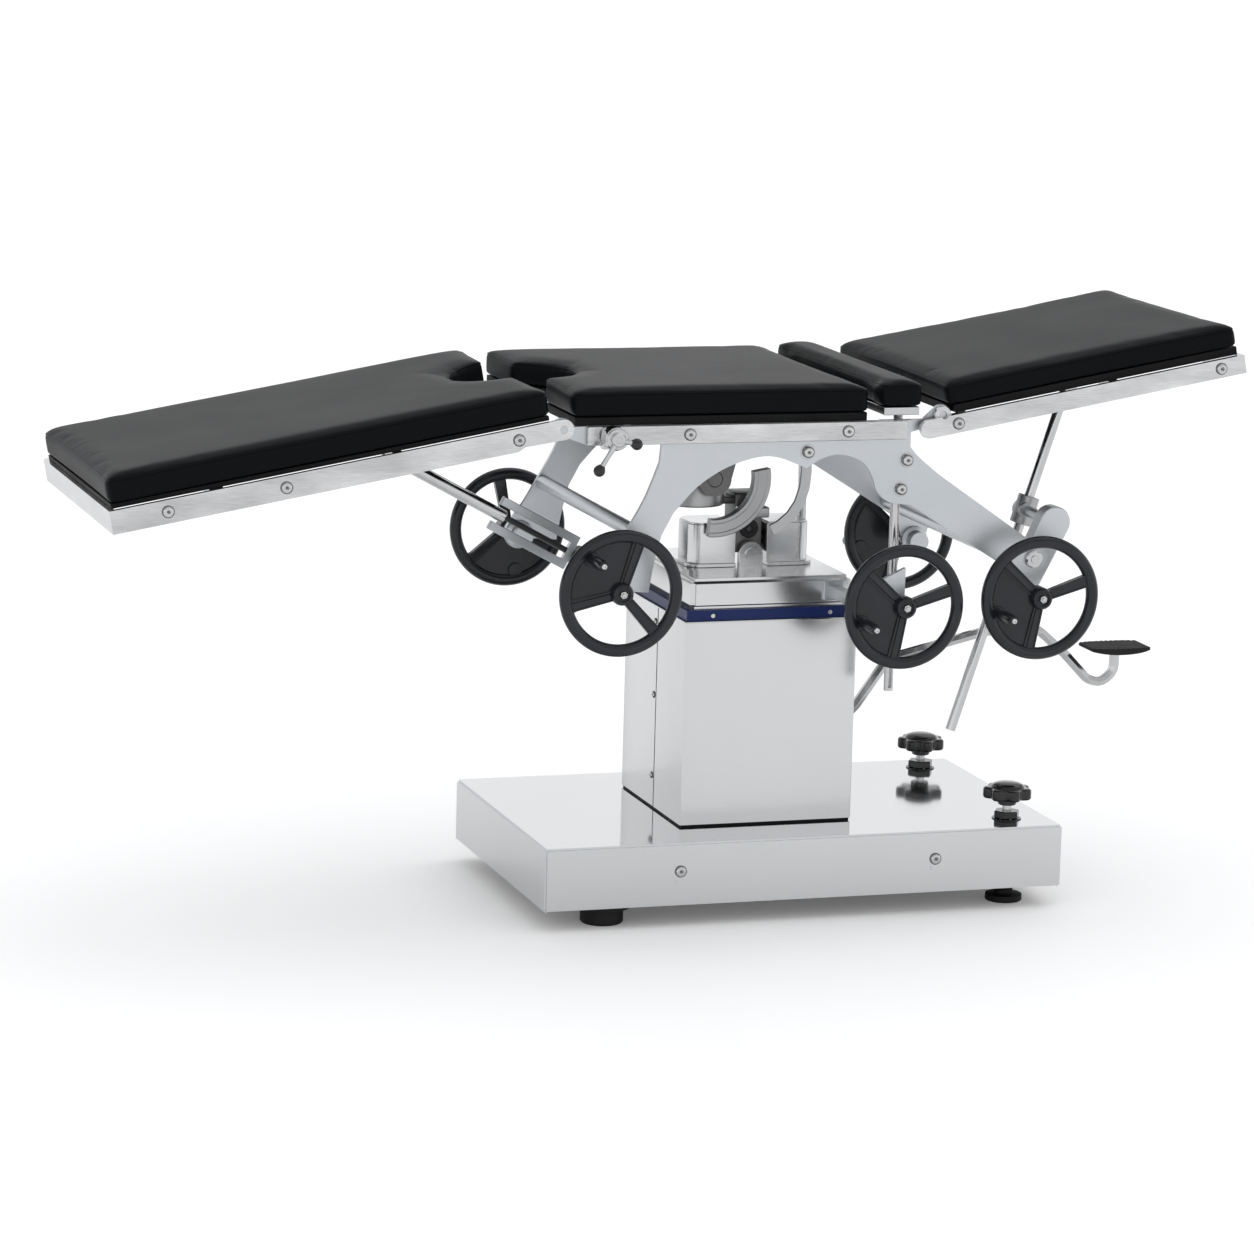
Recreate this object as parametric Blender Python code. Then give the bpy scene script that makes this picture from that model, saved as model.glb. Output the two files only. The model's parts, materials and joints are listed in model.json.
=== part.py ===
# Hydraulic operating table with five handwheels. Metres, +Z up, leg end towards -X,
# near side towards -Y, base resting on Z = 0 with its left end at X = 0.
import bpy
import bmesh
from math import acos, atan2, ceil, cos, hypot, pi, radians, sin
from mathutils import Matrix, Vector

FIT = 0.0003
RUNNING_GAP = 0.0001
OVERRUN = 0.004
CHAMFER = 0.0008

# Base
BASE_LENGTH = 0.812
BASE_DEPTH = 0.480
BASE_HEIGHT = 0.096
BASE_WALL = 0.003
BASE_EDGE = 0.003
FOOT_HEIGHT = 0.030
CHASSIS_HEIGHT = 0.052
CHASSIS_LIP = 0.004
FOOT_RADIUS = 0.032
FOOT_FLANGE_RADIUS = 0.043
FOOT_FLANGE_THICKNESS = 0.009
FOOT_INSET_X = 0.105
FOOT_INSET_Y = 0.055
LEVEL_INSET_X = 0.067
LEVEL_INSET_Y = 0.060
LEVEL_PAD_RADIUS = 0.028
LEVEL_PAD_HEIGHT = 0.018
LEVEL_SOCKET_RADIUS = 0.014
LEVEL_SOCKET_HEIGHT = 0.008
LEVEL_STEM_RADIUS = 0.007
LEVEL_TRAVEL = 0.006
LEVEL_STUD_RADIUS = 0.004
LEVEL_STUD_LENGTH = 0.018
KNOB_RADIUS = 0.037
KNOB_HEIGHT = 0.024
KNOB_LOBE_COUNT = 7
KNOB_LOBE_RADIUS = 0.0075
KNOB_NECK_RADIUS = 0.014
KNOB_NECK_HEIGHT = 0.011
KNOB_LIFT = 0.021
KNOB_STAR_SHARE = 0.667
KNOB_DOME_SHARES = ((0.72, 0.0), (0.62, 0.25), (0.3, 0.333), (0.0, 0.36))
LOCK_NUT_RADIUS = 0.017
LOCK_NUT_HEIGHT = 0.012
BASE_SCREW_SHARE = 0.56
BASE_SCREW_X_SHARES = (0.256, 0.749)

# Column
COLUMN_CENTRE_X = 0.372
COLUMN_LENGTH = 0.270
COLUMN_DEPTH = 0.286
COLUMN_WALL = 0.002
COLUMN_FOOT_GAP = 0.003
COLUMN_SEAM_Y = -0.014
SLEEVE_GAP = 0.0008
SLEEVE_WALL = 0.003
SLEEVE_BAND = 0.017
SLEEVE_END_GAP = 0.035
CYLINDER_RADIUS = 0.055
CYLINDER_CLEARANCE = 0.004
CYLINDER_FLOOR = 0.012
RAM_RADIUS = 0.038
RAM_BORE_GAP = 0.0006
RAM_END_GAP = 0.1015
LID_INSET = 0.009
LID_HEIGHT = 0.046
LID_EDGE = 0.007

# Tilt head
TOWER_GAP = 0.050
TOWER_LENGTH = 0.070
TOWER_DEPTH = 0.080
TOWER_HEIGHT = 0.066
TOWER_ROUND = 0.022
TOWER_FLANGE = 0.006
TOWER_FLANGE_HEIGHT = 0.005
CLEVIS_RADIUS = 0.019
CLEVIS_THICKNESS = 0.008
CLEVIS_PIN_RADIUS = 0.009
CLEVIS_PIN_HEAD = 0.003
ROLLER_RADIUS = 0.014
ROLLER_RISE = 0.018
ROLLER_REACH = 0.004
SIDE_AXIS_RISE = 0.037
SIDE_PIN_RADIUS = 0.010
TILT_AXIS_X = 0.305
TILT_AXIS_RISE = 0.136
TILT_PIN_RADIUS = 0.012
TILT_HUB_RADIUS = 0.027
TILT_HUB_LENGTH = 0.094
CRADLE_BLOCK_LENGTH = 0.044
CRADLE_BLOCK_DEPTH = 0.050
CRADLE_BLOCK_DROP = 0.019
DRUM_RADIUS = 0.047
DRUM_HEIGHT = 0.034
DRUM_CENTRE_BACK = 0.014
DRUM_CLEARANCE = 0.028
CRESCENT_OUTER = 0.087
CRESCENT_INNER = 0.060
CRESCENT_THICKNESS = 0.016
CRESCENT_GAP = 0.009
CRESCENT_GROOVE = 0.004
CRESCENT_GROOVE_RUN = radians(4.0)
CRESCENT_START = radians(8.0)
CRESCENT_END = radians(-118.0)
YOKE_THICKNESS = 0.012
YOKE_GAP = 0.001
YOKE_EYE_RADIUS = 0.026

# Table top
TOP_WIDTH = 0.480
SEAT_LEFT = 0.026
SEAT_LENGTH = 0.458
SEAT_RAIL_LEFT = 0.048
SEAT_RAIL_RIGHT = 0.538
SEAT_RAIL_HEIGHT = 0.027
SEAT_RAIL_BOTTOM = 0.718
SEAT_RISE = 0.0827
RAIL_THICKNESS = 0.009
RAIL_OUTSET = 0.003
SEAT_SCREW_SHARES = (0.314, 0.810)
BOARD_THICKNESS = 0.012
BOARD_INSET = 0.010
BOARD_MARGIN = 0.006
CUSHION_HEIGHT = 0.041
CUSHION_CORNER = 0.016
CUSHION_CROWN = 0.004
CUSHION_DRAW = 0.0035
CUSHION_INSET = 0.001
CUSHION_SIDE_PARTS = 5
CUSHION_SECTION_SHARES = ((0.22, 0.0), (0.05, 0.10), (0.0, 0.38), (0.04, 0.62), (0.22, 0.80),
                          (0.55, 0.9024))
CUSHION_TOP_SHARES = (0.90, 0.66, 0.30)
SCREW_RADIUS = 0.0078
SCREW_HEIGHT = 0.0016
NOTCH_X = 0.009
NOTCH_RADIUS = 0.088
NOTCH_CENTRE_Y = 0.010

# Side plates
PLATE_THICKNESS = 0.008
WHEEL_LEFT_X = 0.088
WHEEL_LEFT_DROP = 0.207
WHEEL_RIGHT_X = 0.737
WHEEL_RIGHT_DROP = 0.233
WHEEL_MID_X = 0.523
WHEEL_MID_DROP = 0.0213
MID_BAR_X = 0.467
MID_BAR_WIDTH = 0.016
MID_EYE_SHARE = 1.1
MID_FLANGE_THICKNESS = 0.006
MID_BEARING_LENGTH = 0.0155
MID_GUSSET_RISE = 0.037
ARM_END_X = 0.748
ARM_END_DROP = 0.189
ARM_END_RADIUS = 0.023
BOLT_RADIUS = 0.0085
BOLT_HEIGHT = 0.004
PLATE_TOP_LEFT_X = 0.165
PLATE_FOOT_TURN = (radians(150.0), radians(340.0))
PLATE_END_TURN = (radians(-49.4), radians(58.0))
PLATE_RIGHT_FOOT_SHARE = 0.8
PLATE_LEFT_EDGE_SHARES = ((0.109, 0.788), (0.079, 0.596), (0.045, 0.442))
PLATE_LEFT_FOOT_SHARES = ((0.009, 0.288), (-0.023, 0.181))
PLATE_LEFT_INSIDE_SHARES = ((0.091, 0.058), (0.103, 0.231), (0.118, 0.381))
PLATE_ARCH_LEFT_SHARES = ((0.144, 0.504), (0.195, 0.642), (0.25, 0.735), (0.303, 0.788), (0.352, 0.812),
                          (0.389, 0.8), (0.418, 0.773), (0.45, 0.738))
PLATE_ARCH_RIGHT_SHARES = ((0.48, 0.785), (0.515, 0.812), (0.552, 0.8), (0.585, 0.758), (0.605, 0.685),
                           (0.618, 0.6), (0.647, 0.535), (0.698, 0.515))
PLATE_ARM_TOP_SHARES = ((0.694, 0.85), (0.715, 0.788), (0.767, 0.681))
PLATE_BOLT_SHARES = ((0.686, 0.773), (0.674, 0.608), (1.0, 0.185), (0.452, 0.831))

# Leg section
LEG_AXIS_X = 0.012
LEG_AXIS_RISE = 0.024
LEG_REST = radians(10.1)
LEG_LENGTH = 0.666
LEG_CUSHION_START = 0.010
LEG_RAIL_TOP = 0.0150
LEG_RAIL_DROP = 0.0185
LEG_RAIL_TAPER = 0.005
LEG_RAIL_TAPER_START = 0.060
LEG_BOARD_THICKNESS = 0.0068
LEG_SCREW_SHARES = (0.102, 0.619, 0.877)
LEG_BAR_SHARE = 0.78
LEG_BAR_WIDTH = 0.020
HINGE_PIN_RADIUS = 0.0055
HINGE_EYE_RADIUS = 0.0155
HINGE_PIN_HEAD = 0.0018
LEG_EYE_TURN = (radians(-100.0), radians(90.0))
LEG_STRAP_TURN = (radians(10.0), radians(300.0))
BACK_EAR_TURN = (radians(-70.0), radians(125.0))

# Back section
BACK_AXIS_X = 0.595
BACK_AXIS_RISE = 0.034
BACK_REST = radians(10.1)
BACK_LENGTH = 0.483
BACK_CUSHION_START = 0.008
BACK_CUSHION_HEIGHT = 0.036
BACK_RAIL_HEIGHT = 0.0275
BACK_RAIL_START = 0.040
BACK_EAR_LENGTH = 0.0372
BACK_EYE_SHARE = 0.8
BACK_EAR_SHARE = 0.9
BACK_EAR_THICKNESS = 0.006
BACK_BOARD_RISE = 0.0103
BACK_POCKET_MARGIN = 0.0117
BACK_BRACKET_START = 0.500
BACK_SCREW_SHARES = (0.040, 0.918)

# Kidney bridge
BRIDGE_CENTRE_X = 0.532
BRIDGE_LENGTH = 0.067
BRIDGE_RISE = 0.0065
POST_RADIUS = 0.007
POST_FORWARD = 0.006
POST_INSET = 0.0257
POST_DROP = 0.383
POST_GUIDE_RADIUS = 0.0125
POST_GUIDE_LENGTH = 0.060
POST_GUIDE_DROP = 0.062
POST_SLOT_WIDTH = 0.005
POST_SLOT_LENGTH = 0.030

# Props
PROP_Y = -0.105
LEG_PROP_FOOT_X = 0.085
LEG_PROP_FOOT_DROP = 0.188
LEG_PROP_LUG_ANGLE = radians(4.0)
LEG_TUBE_RADIUS = 0.0095
LEG_TUBE_LENGTH = 0.195
LEG_SCREW_RADIUS = 0.0045
LEG_SCREW_LENGTH = 0.203
PROP_BORE_GAP = 0.0008
YOKE_BAR_START = 0.030
YOKE_BAR_LENGTH = 0.104
YOKE_BAR_WIDTH = 0.010
YOKE_BAR_HEIGHT = 0.013
YOKE_BAR_CLEARANCE = 0.004
TRUNNION_RADIUS = 0.017
TRUNNION_LENGTH = 0.030
TRUNNION_PIN_RADIUS = 0.008
TRUNNION_PIN_DEPTH = 0.0045
BACK_PROP_FOOT_X = 0.785
BACK_PROP_FOOT_DROP = 0.133
BACK_PROP_LUG_ANGLE = radians(4.1)
BACK_ROD_RADIUS = 0.0078
BACK_ROD_LENGTH = 0.555
BACK_NUT_RADIUS = 0.0165
BACK_NUT_LENGTH = 0.044
LUG_THICKNESS = 0.006
LUG_EYE_RADIUS = 0.014
LUG_PIN_RADIUS = 0.0044
LUG_PLATE = 0.004
LUG_TAPER_SHARE = 0.75
LUG_PLATE_SHARE = 1.5
GEAR_CASE_THICKNESS = 0.028
GEAR_CASE_RADIUS = 0.024
GEAR_CASE_END_SHARE = 0.85
BEARING_SHARES = ((0.9, 0.0), (0.9, 0.25), (0.65, 0.333), (0.65, 1.0))
CROSS_TUBE_RADIUS = 0.011
CROSS_LEFT_X = 0.124
CROSS_LEFT_DROP = 0.128
CROSS_RIGHT_X = 0.690
CROSS_RIGHT_DROP = 0.171
BEAM_HEIGHT = 0.036
BEAM_THICKNESS = 0.014
BEAM_LEFT_X = 0.200
BEAM_RIGHT_X = 0.430

# Handwheels
WHEEL_RADIUS = 0.0925
WHEEL_RIM_RADIUS = 0.0092
WHEEL_STANDOFF = 0.0563
WHEEL_HUB_RADIUS = 0.0165
WHEEL_HUB_LENGTH = 0.034
WHEEL_SPOKE_WIDTH = 0.013
WHEEL_SPOKE_THICKNESS = 0.010
WHEEL_WEB_THICKNESS = 0.005
SHAFT_RADIUS = 0.007
SHAFT_COLLAR_RADIUS = 0.013
SHAFT_COLLAR_LENGTH = 0.010
SHAFT_NUT_RADIUS = 0.0075
SHAFT_NUT_HEIGHT = 0.004
PEG_DISTANCE = 0.069
PEG_RADIUS = 0.0088
PEG_SHARES = ((0.625, 0.0), (0.625, 0.1), (0.9, 0.2), (1.0, 0.5), (0.92, 0.9), (0.75, 1.0))
PEG_PIN_RADIUS = 0.003
PEG_LENGTH = 0.058
PEG_BUTTON_RADIUS = 0.0045
PEG_BUTTON_HEIGHT = 0.003
PEG_TURN_LEFT_NEAR = radians(132.0)
PEG_TURN_LEFT_FAR = radians(-79.0)
PEG_TURN_MID = radians(198.0)
PEG_TURN_RIGHT = radians(198.0)

# Pedal
PEDAL_TUBE_RADIUS = 0.008
PEDAL_REACH = 0.463
PEDAL_RISE = 0.144
PEDAL_ROUTE_SHARES = ((0.0, 0.0), (0.078, 0.243), (0.186, 0.729), (0.529, 0.993), (0.715, 1.0),
                      (0.816, 0.722), (0.903, 0.431), (0.952, 0.382), (1.0, 0.5), (1.0, 0.722))
PEDAL_PIVOT_X = 0.527
PEDAL_PIVOT_Z = 0.236
PEDAL_PIVOT_RADIUS = 0.0065
PEDAL_HUB_RADIUS = 0.015
PEDAL_HUB_LENGTH = 0.030
PEDAL_BRACKET_THICKNESS = 0.006
PEDAL_PAD_LENGTH = 0.098
PEDAL_PAD_WIDTH = 0.070
PEDAL_PAD_THICKNESS = 0.011

# Rail clamp
CLAMP_X = 0.082
CLAMP_RADIUS = 0.017
CLAMP_WIDTH = 0.0272
CLAMP_LIP = 0.0063
CLAMP_HEAD_RADIUS = 0.0102
CLAMP_HEAD_LENGTH = 0.0108
CLAMP_SHORT_SHARE = 0.55
CLAMP_DEPTH = 0.030
CLAMP_LEVER_RADIUS = 0.0045
CLAMP_LEVER_LENGTH = 0.052
CLAMP_BALL_RADIUS = 0.0085
CLAMP_SCREW_RADIUS = 0.0055
CLAMP_LEVER_TURN = radians(238.0)

# Facets on round pieces
SIDES_SMALL = 8
SIDES_PEG = 10
SIDES_MEDIUM = 14
SIDES_LARGE = 24
SIDES_RIM = 30
SIDES_RIM_SECTION = 8

# Places worked out from the sizes above
BASE_TOP = FOOT_HEIGHT + BASE_HEIGHT
COLUMN_BOTTOM = BASE_TOP + COLUMN_FOOT_GAP
TILT_AXIS_Z = SEAT_RAIL_BOTTOM - SEAT_RISE
LID_TOP = TILT_AXIS_Z - TILT_AXIS_RISE
LID_BOTTOM = LID_TOP - LID_HEIGHT
SLEEVE_TOP = LID_BOTTOM - FIT
COLUMN_TOP = SLEEVE_TOP - SLEEVE_BAND
TOWER_TOP = LID_TOP + FIT + TOWER_HEIGHT
SIDE_AXIS_Z = LID_TOP + SIDE_AXIS_RISE
RAIL_OUTER = TOP_WIDTH / 2 + RAIL_OUTSET
RAIL_INNER = RAIL_OUTER - RAIL_THICKNESS
PLATE_OUTER = RAIL_INNER - FIT
PLATE_INNER = PLATE_OUTER - PLATE_THICKNESS
BACK_POCKET_Y = PLATE_INNER - BACK_POCKET_MARGIN
WHEEL_PLANE_Y = PLATE_OUTER + WHEEL_STANDOFF
WHEEL_LEFT_Z = SEAT_RAIL_BOTTOM - WHEEL_LEFT_DROP
WHEEL_RIGHT_Z = SEAT_RAIL_BOTTOM - WHEEL_RIGHT_DROP
WHEEL_MID_Z = LID_TOP - WHEEL_MID_DROP
ARM_END_Z = SEAT_RAIL_BOTTOM - ARM_END_DROP
LEG_AXIS_Z = SEAT_RAIL_BOTTOM + LEG_AXIS_RISE
BACK_AXIS_Z = SEAT_RAIL_BOTTOM + BACK_AXIS_RISE
LEG_PROP_FOOT_Z = SEAT_RAIL_BOTTOM - LEG_PROP_FOOT_DROP
BACK_PROP_FOOT_Z = SEAT_RAIL_BOTTOM - BACK_PROP_FOOT_DROP
CROSS_LEFT_Z = SEAT_RAIL_BOTTOM - CROSS_LEFT_DROP
CROSS_RIGHT_Z = SEAT_RAIL_BOTTOM - CROSS_RIGHT_DROP
POST_BOTTOM = SEAT_RAIL_BOTTOM - POST_DROP
POST_SPREAD = PLATE_INNER - POST_INSET
LID_NEAR_Y = LID_INSET / 3 - COLUMN_DEPTH / 2
SEAT_RAIL_TOP = SEAT_RAIL_BOTTOM + SEAT_RAIL_HEIGHT
BOARD_BOTTOM = SEAT_RAIL_TOP + FIT
BOARD_TOP = BOARD_BOTTOM + BOARD_THICKNESS
LEG_AXIS = Vector((LEG_AXIS_X, 0, LEG_AXIS_Z))
BACK_AXIS = Vector((BACK_AXIS_X, 0, BACK_AXIS_Z))
LEG_SPAN = hypot(LEG_PROP_FOOT_X - LEG_AXIS_X, LEG_PROP_FOOT_Z - LEG_AXIS_Z)
BACK_SPAN = hypot(BACK_PROP_FOOT_X - BACK_AXIS_X, BACK_PROP_FOOT_Z - BACK_AXIS_Z)
MID_ARM_OUTER_Y = WHEEL_HUB_LENGTH / 2 + SHAFT_COLLAR_LENGTH + FIT - WHEEL_PLANE_Y


STEEL = ("stainless steel", (0.60, 0.61, 0.63), 1.0, 0.28)
POLISHED = ("polished steel", (0.72, 0.73, 0.74), 1.0, 0.12)
SATIN = ("satin steel", (0.68, 0.71, 0.74), 0.9, 0.38)
CAST = ("dark casting", (0.10, 0.10, 0.11), 0.6, 0.45)
BLACK_STEEL = ("blackened steel", (0.04, 0.04, 0.045), 0.8, 0.35)
NAVY = ("navy paint", (0.015, 0.030, 0.140), 0.0, 0.35)
PLASTIC = ("black plastic", (0.030, 0.032, 0.035), 0.0, 0.32)
RUBBER = ("black rubber", (0.012, 0.012, 0.013), 0.0, 0.70)
LEATHER = ("black upholstery", (0.020, 0.021, 0.023), 0.0, 0.42)
PANEL = ("black panel", (0.015, 0.015, 0.016), 0.0, 0.55)


def clear_scene():
    for item in list(bpy.data.objects):
        bpy.data.objects.remove(item, do_unlink=True)


def piece(bm):
    bmesh.ops.recalc_face_normals(bm, faces=bm.faces)
    if bm.calc_volume(signed=True) < 0:
        bmesh.ops.reverse_faces(bm, faces=bm.faces)
    mesh = bpy.data.meshes.new("piece")
    bm.to_mesh(mesh)
    bm.free()
    return mesh


def soften(bm, width, segments, smallest_turn=radians(25)):
    edges = [e for e in bm.edges if e.is_manifold and e.calc_face_angle() > smallest_turn]
    bmesh.ops.bevel(bm, geom=edges, offset=width, segments=segments, affect="EDGES", clamp_overlap=True)


def box(low, high, edge=0.0, segments=1):
    bm = bmesh.new()
    corners = bmesh.ops.create_cube(bm, size=1)["verts"]
    for v in corners:
        v.co = Vector([low[i] if v.co[i] < 0 else high[i] for i in range(len(low))])
    bmesh.ops.recalc_face_normals(bm, faces=bm.faces)
    if edge:
        soften(bm, edge, segments)
    return piece(bm)


def prism(outline, start, end, edge=0.0, segments=1, axis="Y"):
    bm = bmesh.new()
    if axis == "Y":
        ring = [bm.verts.new((a, start, b)) for a, b in outline]
        step = Vector((0, end - start, 0))
    else:
        ring = [bm.verts.new((a, b, start)) for a, b in outline]
        step = Vector((0, 0, end - start))
    face = bm.faces.new(ring)
    moved = bmesh.ops.extrude_face_region(bm, geom=[face])["geom"]
    bmesh.ops.translate(bm, verts=[v for v in moved if isinstance(v, bmesh.types.BMVert)], vec=step)
    bmesh.ops.recalc_face_normals(bm, faces=bm.faces)
    if edge:
        rims = [e for e in bm.edges if len({round(v.co[1 if axis == "Y" else 2], 6) for v in e.verts}) == 1]
        bmesh.ops.bevel(bm, geom=rims, offset=edge, segments=segments, affect="EDGES", clamp_overlap=True)
    return piece(bm)


def rod(a, b, radius, sides=SIDES_MEDIUM, radius_end=None, edge=0.0):
    a, b = Vector(a), Vector(b)
    bm = bmesh.new()
    bmesh.ops.create_cone(
        bm, cap_ends=True, segments=sides, radius1=radius,
        radius2=radius if radius_end is None else radius_end, depth=(b - a).length)
    if edge:
        soften(bm, edge, 1, radians(60))
    turn = (b - a).to_track_quat("Z", "Y").to_matrix().to_4x4()
    bm.transform(Matrix.Translation((a + b) / 2) @ turn)
    return piece(bm)


def along_y(x, z, y0, y1):
    """The ends of a line across the table."""
    return (x, y0, z), (x, y1, z)


def upright(x, y, z0, z1):
    """The ends of an upright line."""
    return (x, y, z0), (x, y, z1)


def slab(outline, side, inner, outer):
    """A plate on one side of the table, between two distances from its middle plane."""
    near, far = side * inner, side * outer
    return prism(outline, min(near, far), max(near, far))


def turning_sides(radius):
    """Enough facets for a pin to turn in a hole that is wider by the running gap."""
    return 2 * ceil(pi / acos(radius / (radius + RUNNING_GAP)) / 2)


def turning_pin(a, b, radius):
    return rod(a, b, radius, turning_sides(radius))


def turning_hole(a, b, radius):
    return rod(a, b, radius + RUNNING_GAP, turning_sides(radius))


def lathe(profile, base, direction, sides=SIDES_MEDIUM):
    bm = bmesh.new()
    rings = []
    for radius, height in profile:
        if radius == 0:
            rings.append([bm.verts.new((0, 0, height))])
            continue
        turns = [2 * pi * k / sides for k in range(sides)]
        rings.append([bm.verts.new((radius * cos(t), radius * sin(t), height)) for t in turns])
    for lower, upper in zip(rings, rings[1:]):
        for k in range(sides):
            n = (k + 1) % sides
            if len(lower) == 1:
                bm.faces.new((lower[0], upper[n], upper[k]))
            elif len(upper) == 1:
                bm.faces.new((lower[k], lower[n], upper[0]))
            else:
                bm.faces.new((lower[k], lower[n], upper[n], upper[k]))
    if len(rings[0]) > 1:
        bm.faces.new(list(reversed(rings[0])))
    if len(rings[-1]) > 1:
        bm.faces.new(rings[-1])
    turn = Vector(direction).to_track_quat("Z", "Y").to_matrix().to_4x4()
    bm.transform(Matrix.Translation(Vector(base)) @ turn)
    return piece(bm)


def tube_along(points, radius, sides=SIDES_SMALL):
    curve = bpy.data.curves.new("route", "CURVE")
    curve.dimensions = "3D"
    curve.bevel_depth = radius
    curve.bevel_resolution = 1
    curve.use_fill_caps = True
    line = curve.splines.new("POLY")
    line.points.add(len(points) - 1)
    for slot, point in zip(line.points, points):
        slot.co = (*point, 1)
    carrier = bpy.data.objects.new("route", curve)
    bpy.context.collection.objects.link(carrier)
    mesh = bpy.data.meshes.new_from_object(carrier.evaluated_get(bpy.context.evaluated_depsgraph_get()))
    bpy.data.objects.remove(carrier, do_unlink=True)
    bm = bmesh.new()
    bm.from_mesh(mesh)
    bmesh.ops.remove_doubles(bm, verts=bm.verts, dist=radius / 1000)
    return piece(bm)


def bent(points, bend, steps=6):
    """Points of a route whose inner corners are rounded with the given bend radius."""
    route = [Vector(points[0])]
    for before, corner, after in zip(points, points[1:], points[2:]):
        before, corner, after = Vector(before), Vector(corner), Vector(after)
        into, out = (corner - before).normalized(), (after - corner).normalized()
        angle = into.angle(out)
        most = min((corner - before).length, (after - corner).length) / 2
        reach = min(bend * sin(angle / 2) / cos(angle / 2), most)
        for k in range(steps + 1):
            t = k / steps
            a, b = corner - into * reach, corner + out * reach
            route.append(a * (1 - t) ** 2 + corner * 2 * t * (1 - t) + b * t ** 2)
    route.append(Vector(points[-1]))
    return route


def arc(centre, radius, start, end, count):
    turns = [start + (end - start) * k / count for k in range(count + 1)]
    return [(centre[0] + radius * cos(t), centre[1] + radius * sin(t)) for t in turns]


def smooth_line(points, steps=3):
    """Catmull-Rom points through a table of places."""
    places = [Vector(p) for p in (points[0], *points, points[-1])]
    out = []
    for a, b, c, d in zip(places, places[1:], places[2:], places[3:]):
        rate, bend = c - a, 2 * a - 5 * b + 4 * c - d
        for k in range(steps):
            t = k / steps
            out.append(tuple(b + (rate * t + bend * t ** 2 + (3 * b - a - 3 * c + d) * t ** 3) / 2))
    out.append(points[-1])
    return out


def finish(name, adds, cuts=(), look=STEEL, frame=None, origin=(0, 0, 0)):
    """One closed solid out of pieces to join and pieces to cut, as a named object."""
    base = bpy.data.objects.new(name, adds[0])
    bpy.context.collection.objects.link(base)
    helpers = []
    for meshes, operation in ((adds[1:], "UNION"), (cuts, "DIFFERENCE")):
        for mesh in meshes:
            helper = bpy.data.objects.new(name + "_tool", mesh)
            bpy.context.collection.objects.link(helper)
            helper.hide_render = True
            helper.display_type = "WIRE"
            helpers.append(helper)
            step = base.modifiers.new(operation, "BOOLEAN")
            step.operation = operation
            step.solver = "EXACT"
            step.object = helper
    if helpers:
        made = base.evaluated_get(bpy.context.evaluated_depsgraph_get())
        base.data = bpy.data.meshes.new_from_object(made)
        base.modifiers.clear()
        for helper in helpers:
            bpy.data.objects.remove(helper, do_unlink=True)
    bm = bmesh.new()
    bm.from_mesh(base.data)
    bmesh.ops.remove_doubles(bm, verts=bm.verts, dist=FIT / 100)
    bmesh.ops.dissolve_degenerate(bm, edges=bm.edges, dist=FIT / 100)
    bmesh.ops.delete(bm, geom=[e for e in bm.edges if not e.link_faces], context="EDGES")
    if frame:
        bm.transform(frame)
    bm.transform(Matrix.Translation(-Vector(origin)))
    bm.to_mesh(base.data)
    bm.free()
    base.data.name = name
    base.location = origin
    base.data.materials.clear()
    base.data.materials.append(material(name, look))
    return base


def finish_again(base, adds):
    """Joins more pieces to a finished solid, such as one that stands in its hollow."""
    name, spot = base.name, base.location.copy()
    look = base.data.materials[0]
    mesh = base.data.copy()
    mesh.transform(Matrix.Translation(spot))
    bpy.data.objects.remove(base, do_unlink=True)
    made = finish(name, [mesh, *adds], (), NAVY, origin=spot)
    made.data.materials.clear()
    made.data.materials.append(look)
    return made


def material(name, look):
    kind, colour, metallic, roughness = look
    made = bpy.data.materials.new(name + " " + kind)
    made.use_nodes = True
    shader = made.node_tree.nodes["Principled BSDF"]
    shader.inputs["Base Color"].default_value = (*colour, 1)
    shader.inputs["Metallic"].default_value = metallic
    shader.inputs["Roughness"].default_value = roughness
    made.diffuse_color = (*colour, 1)
    return made


def both_sides():
    return (("near", -1), ("far", 1))


# Places on a section, from its hinge: along its length and out of its upper face

def section_frame(axis, rest):
    return Matrix.Translation(axis) @ Matrix.Rotation(-rest, 4, "Y")


LEG_FRAME = section_frame(LEG_AXIS, LEG_REST)
BACK_FRAME = section_frame(BACK_AXIS, BACK_REST)
LEG_LUG = LEG_FRAME @ Vector((-LEG_SPAN * cos(LEG_PROP_LUG_ANGLE), PROP_Y,
                              -LEG_SPAN * sin(LEG_PROP_LUG_ANGLE)))
LEG_FOOT = Vector((LEG_PROP_FOOT_X, PROP_Y, LEG_PROP_FOOT_Z))
BACK_LUG = BACK_FRAME @ Vector((BACK_SPAN * cos(BACK_PROP_LUG_ANGLE), PROP_Y,
                                -BACK_SPAN * sin(BACK_PROP_LUG_ANGLE)))
BACK_FOOT = Vector((BACK_PROP_FOOT_X, PROP_Y, BACK_PROP_FOOT_Z))


# Base

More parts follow.
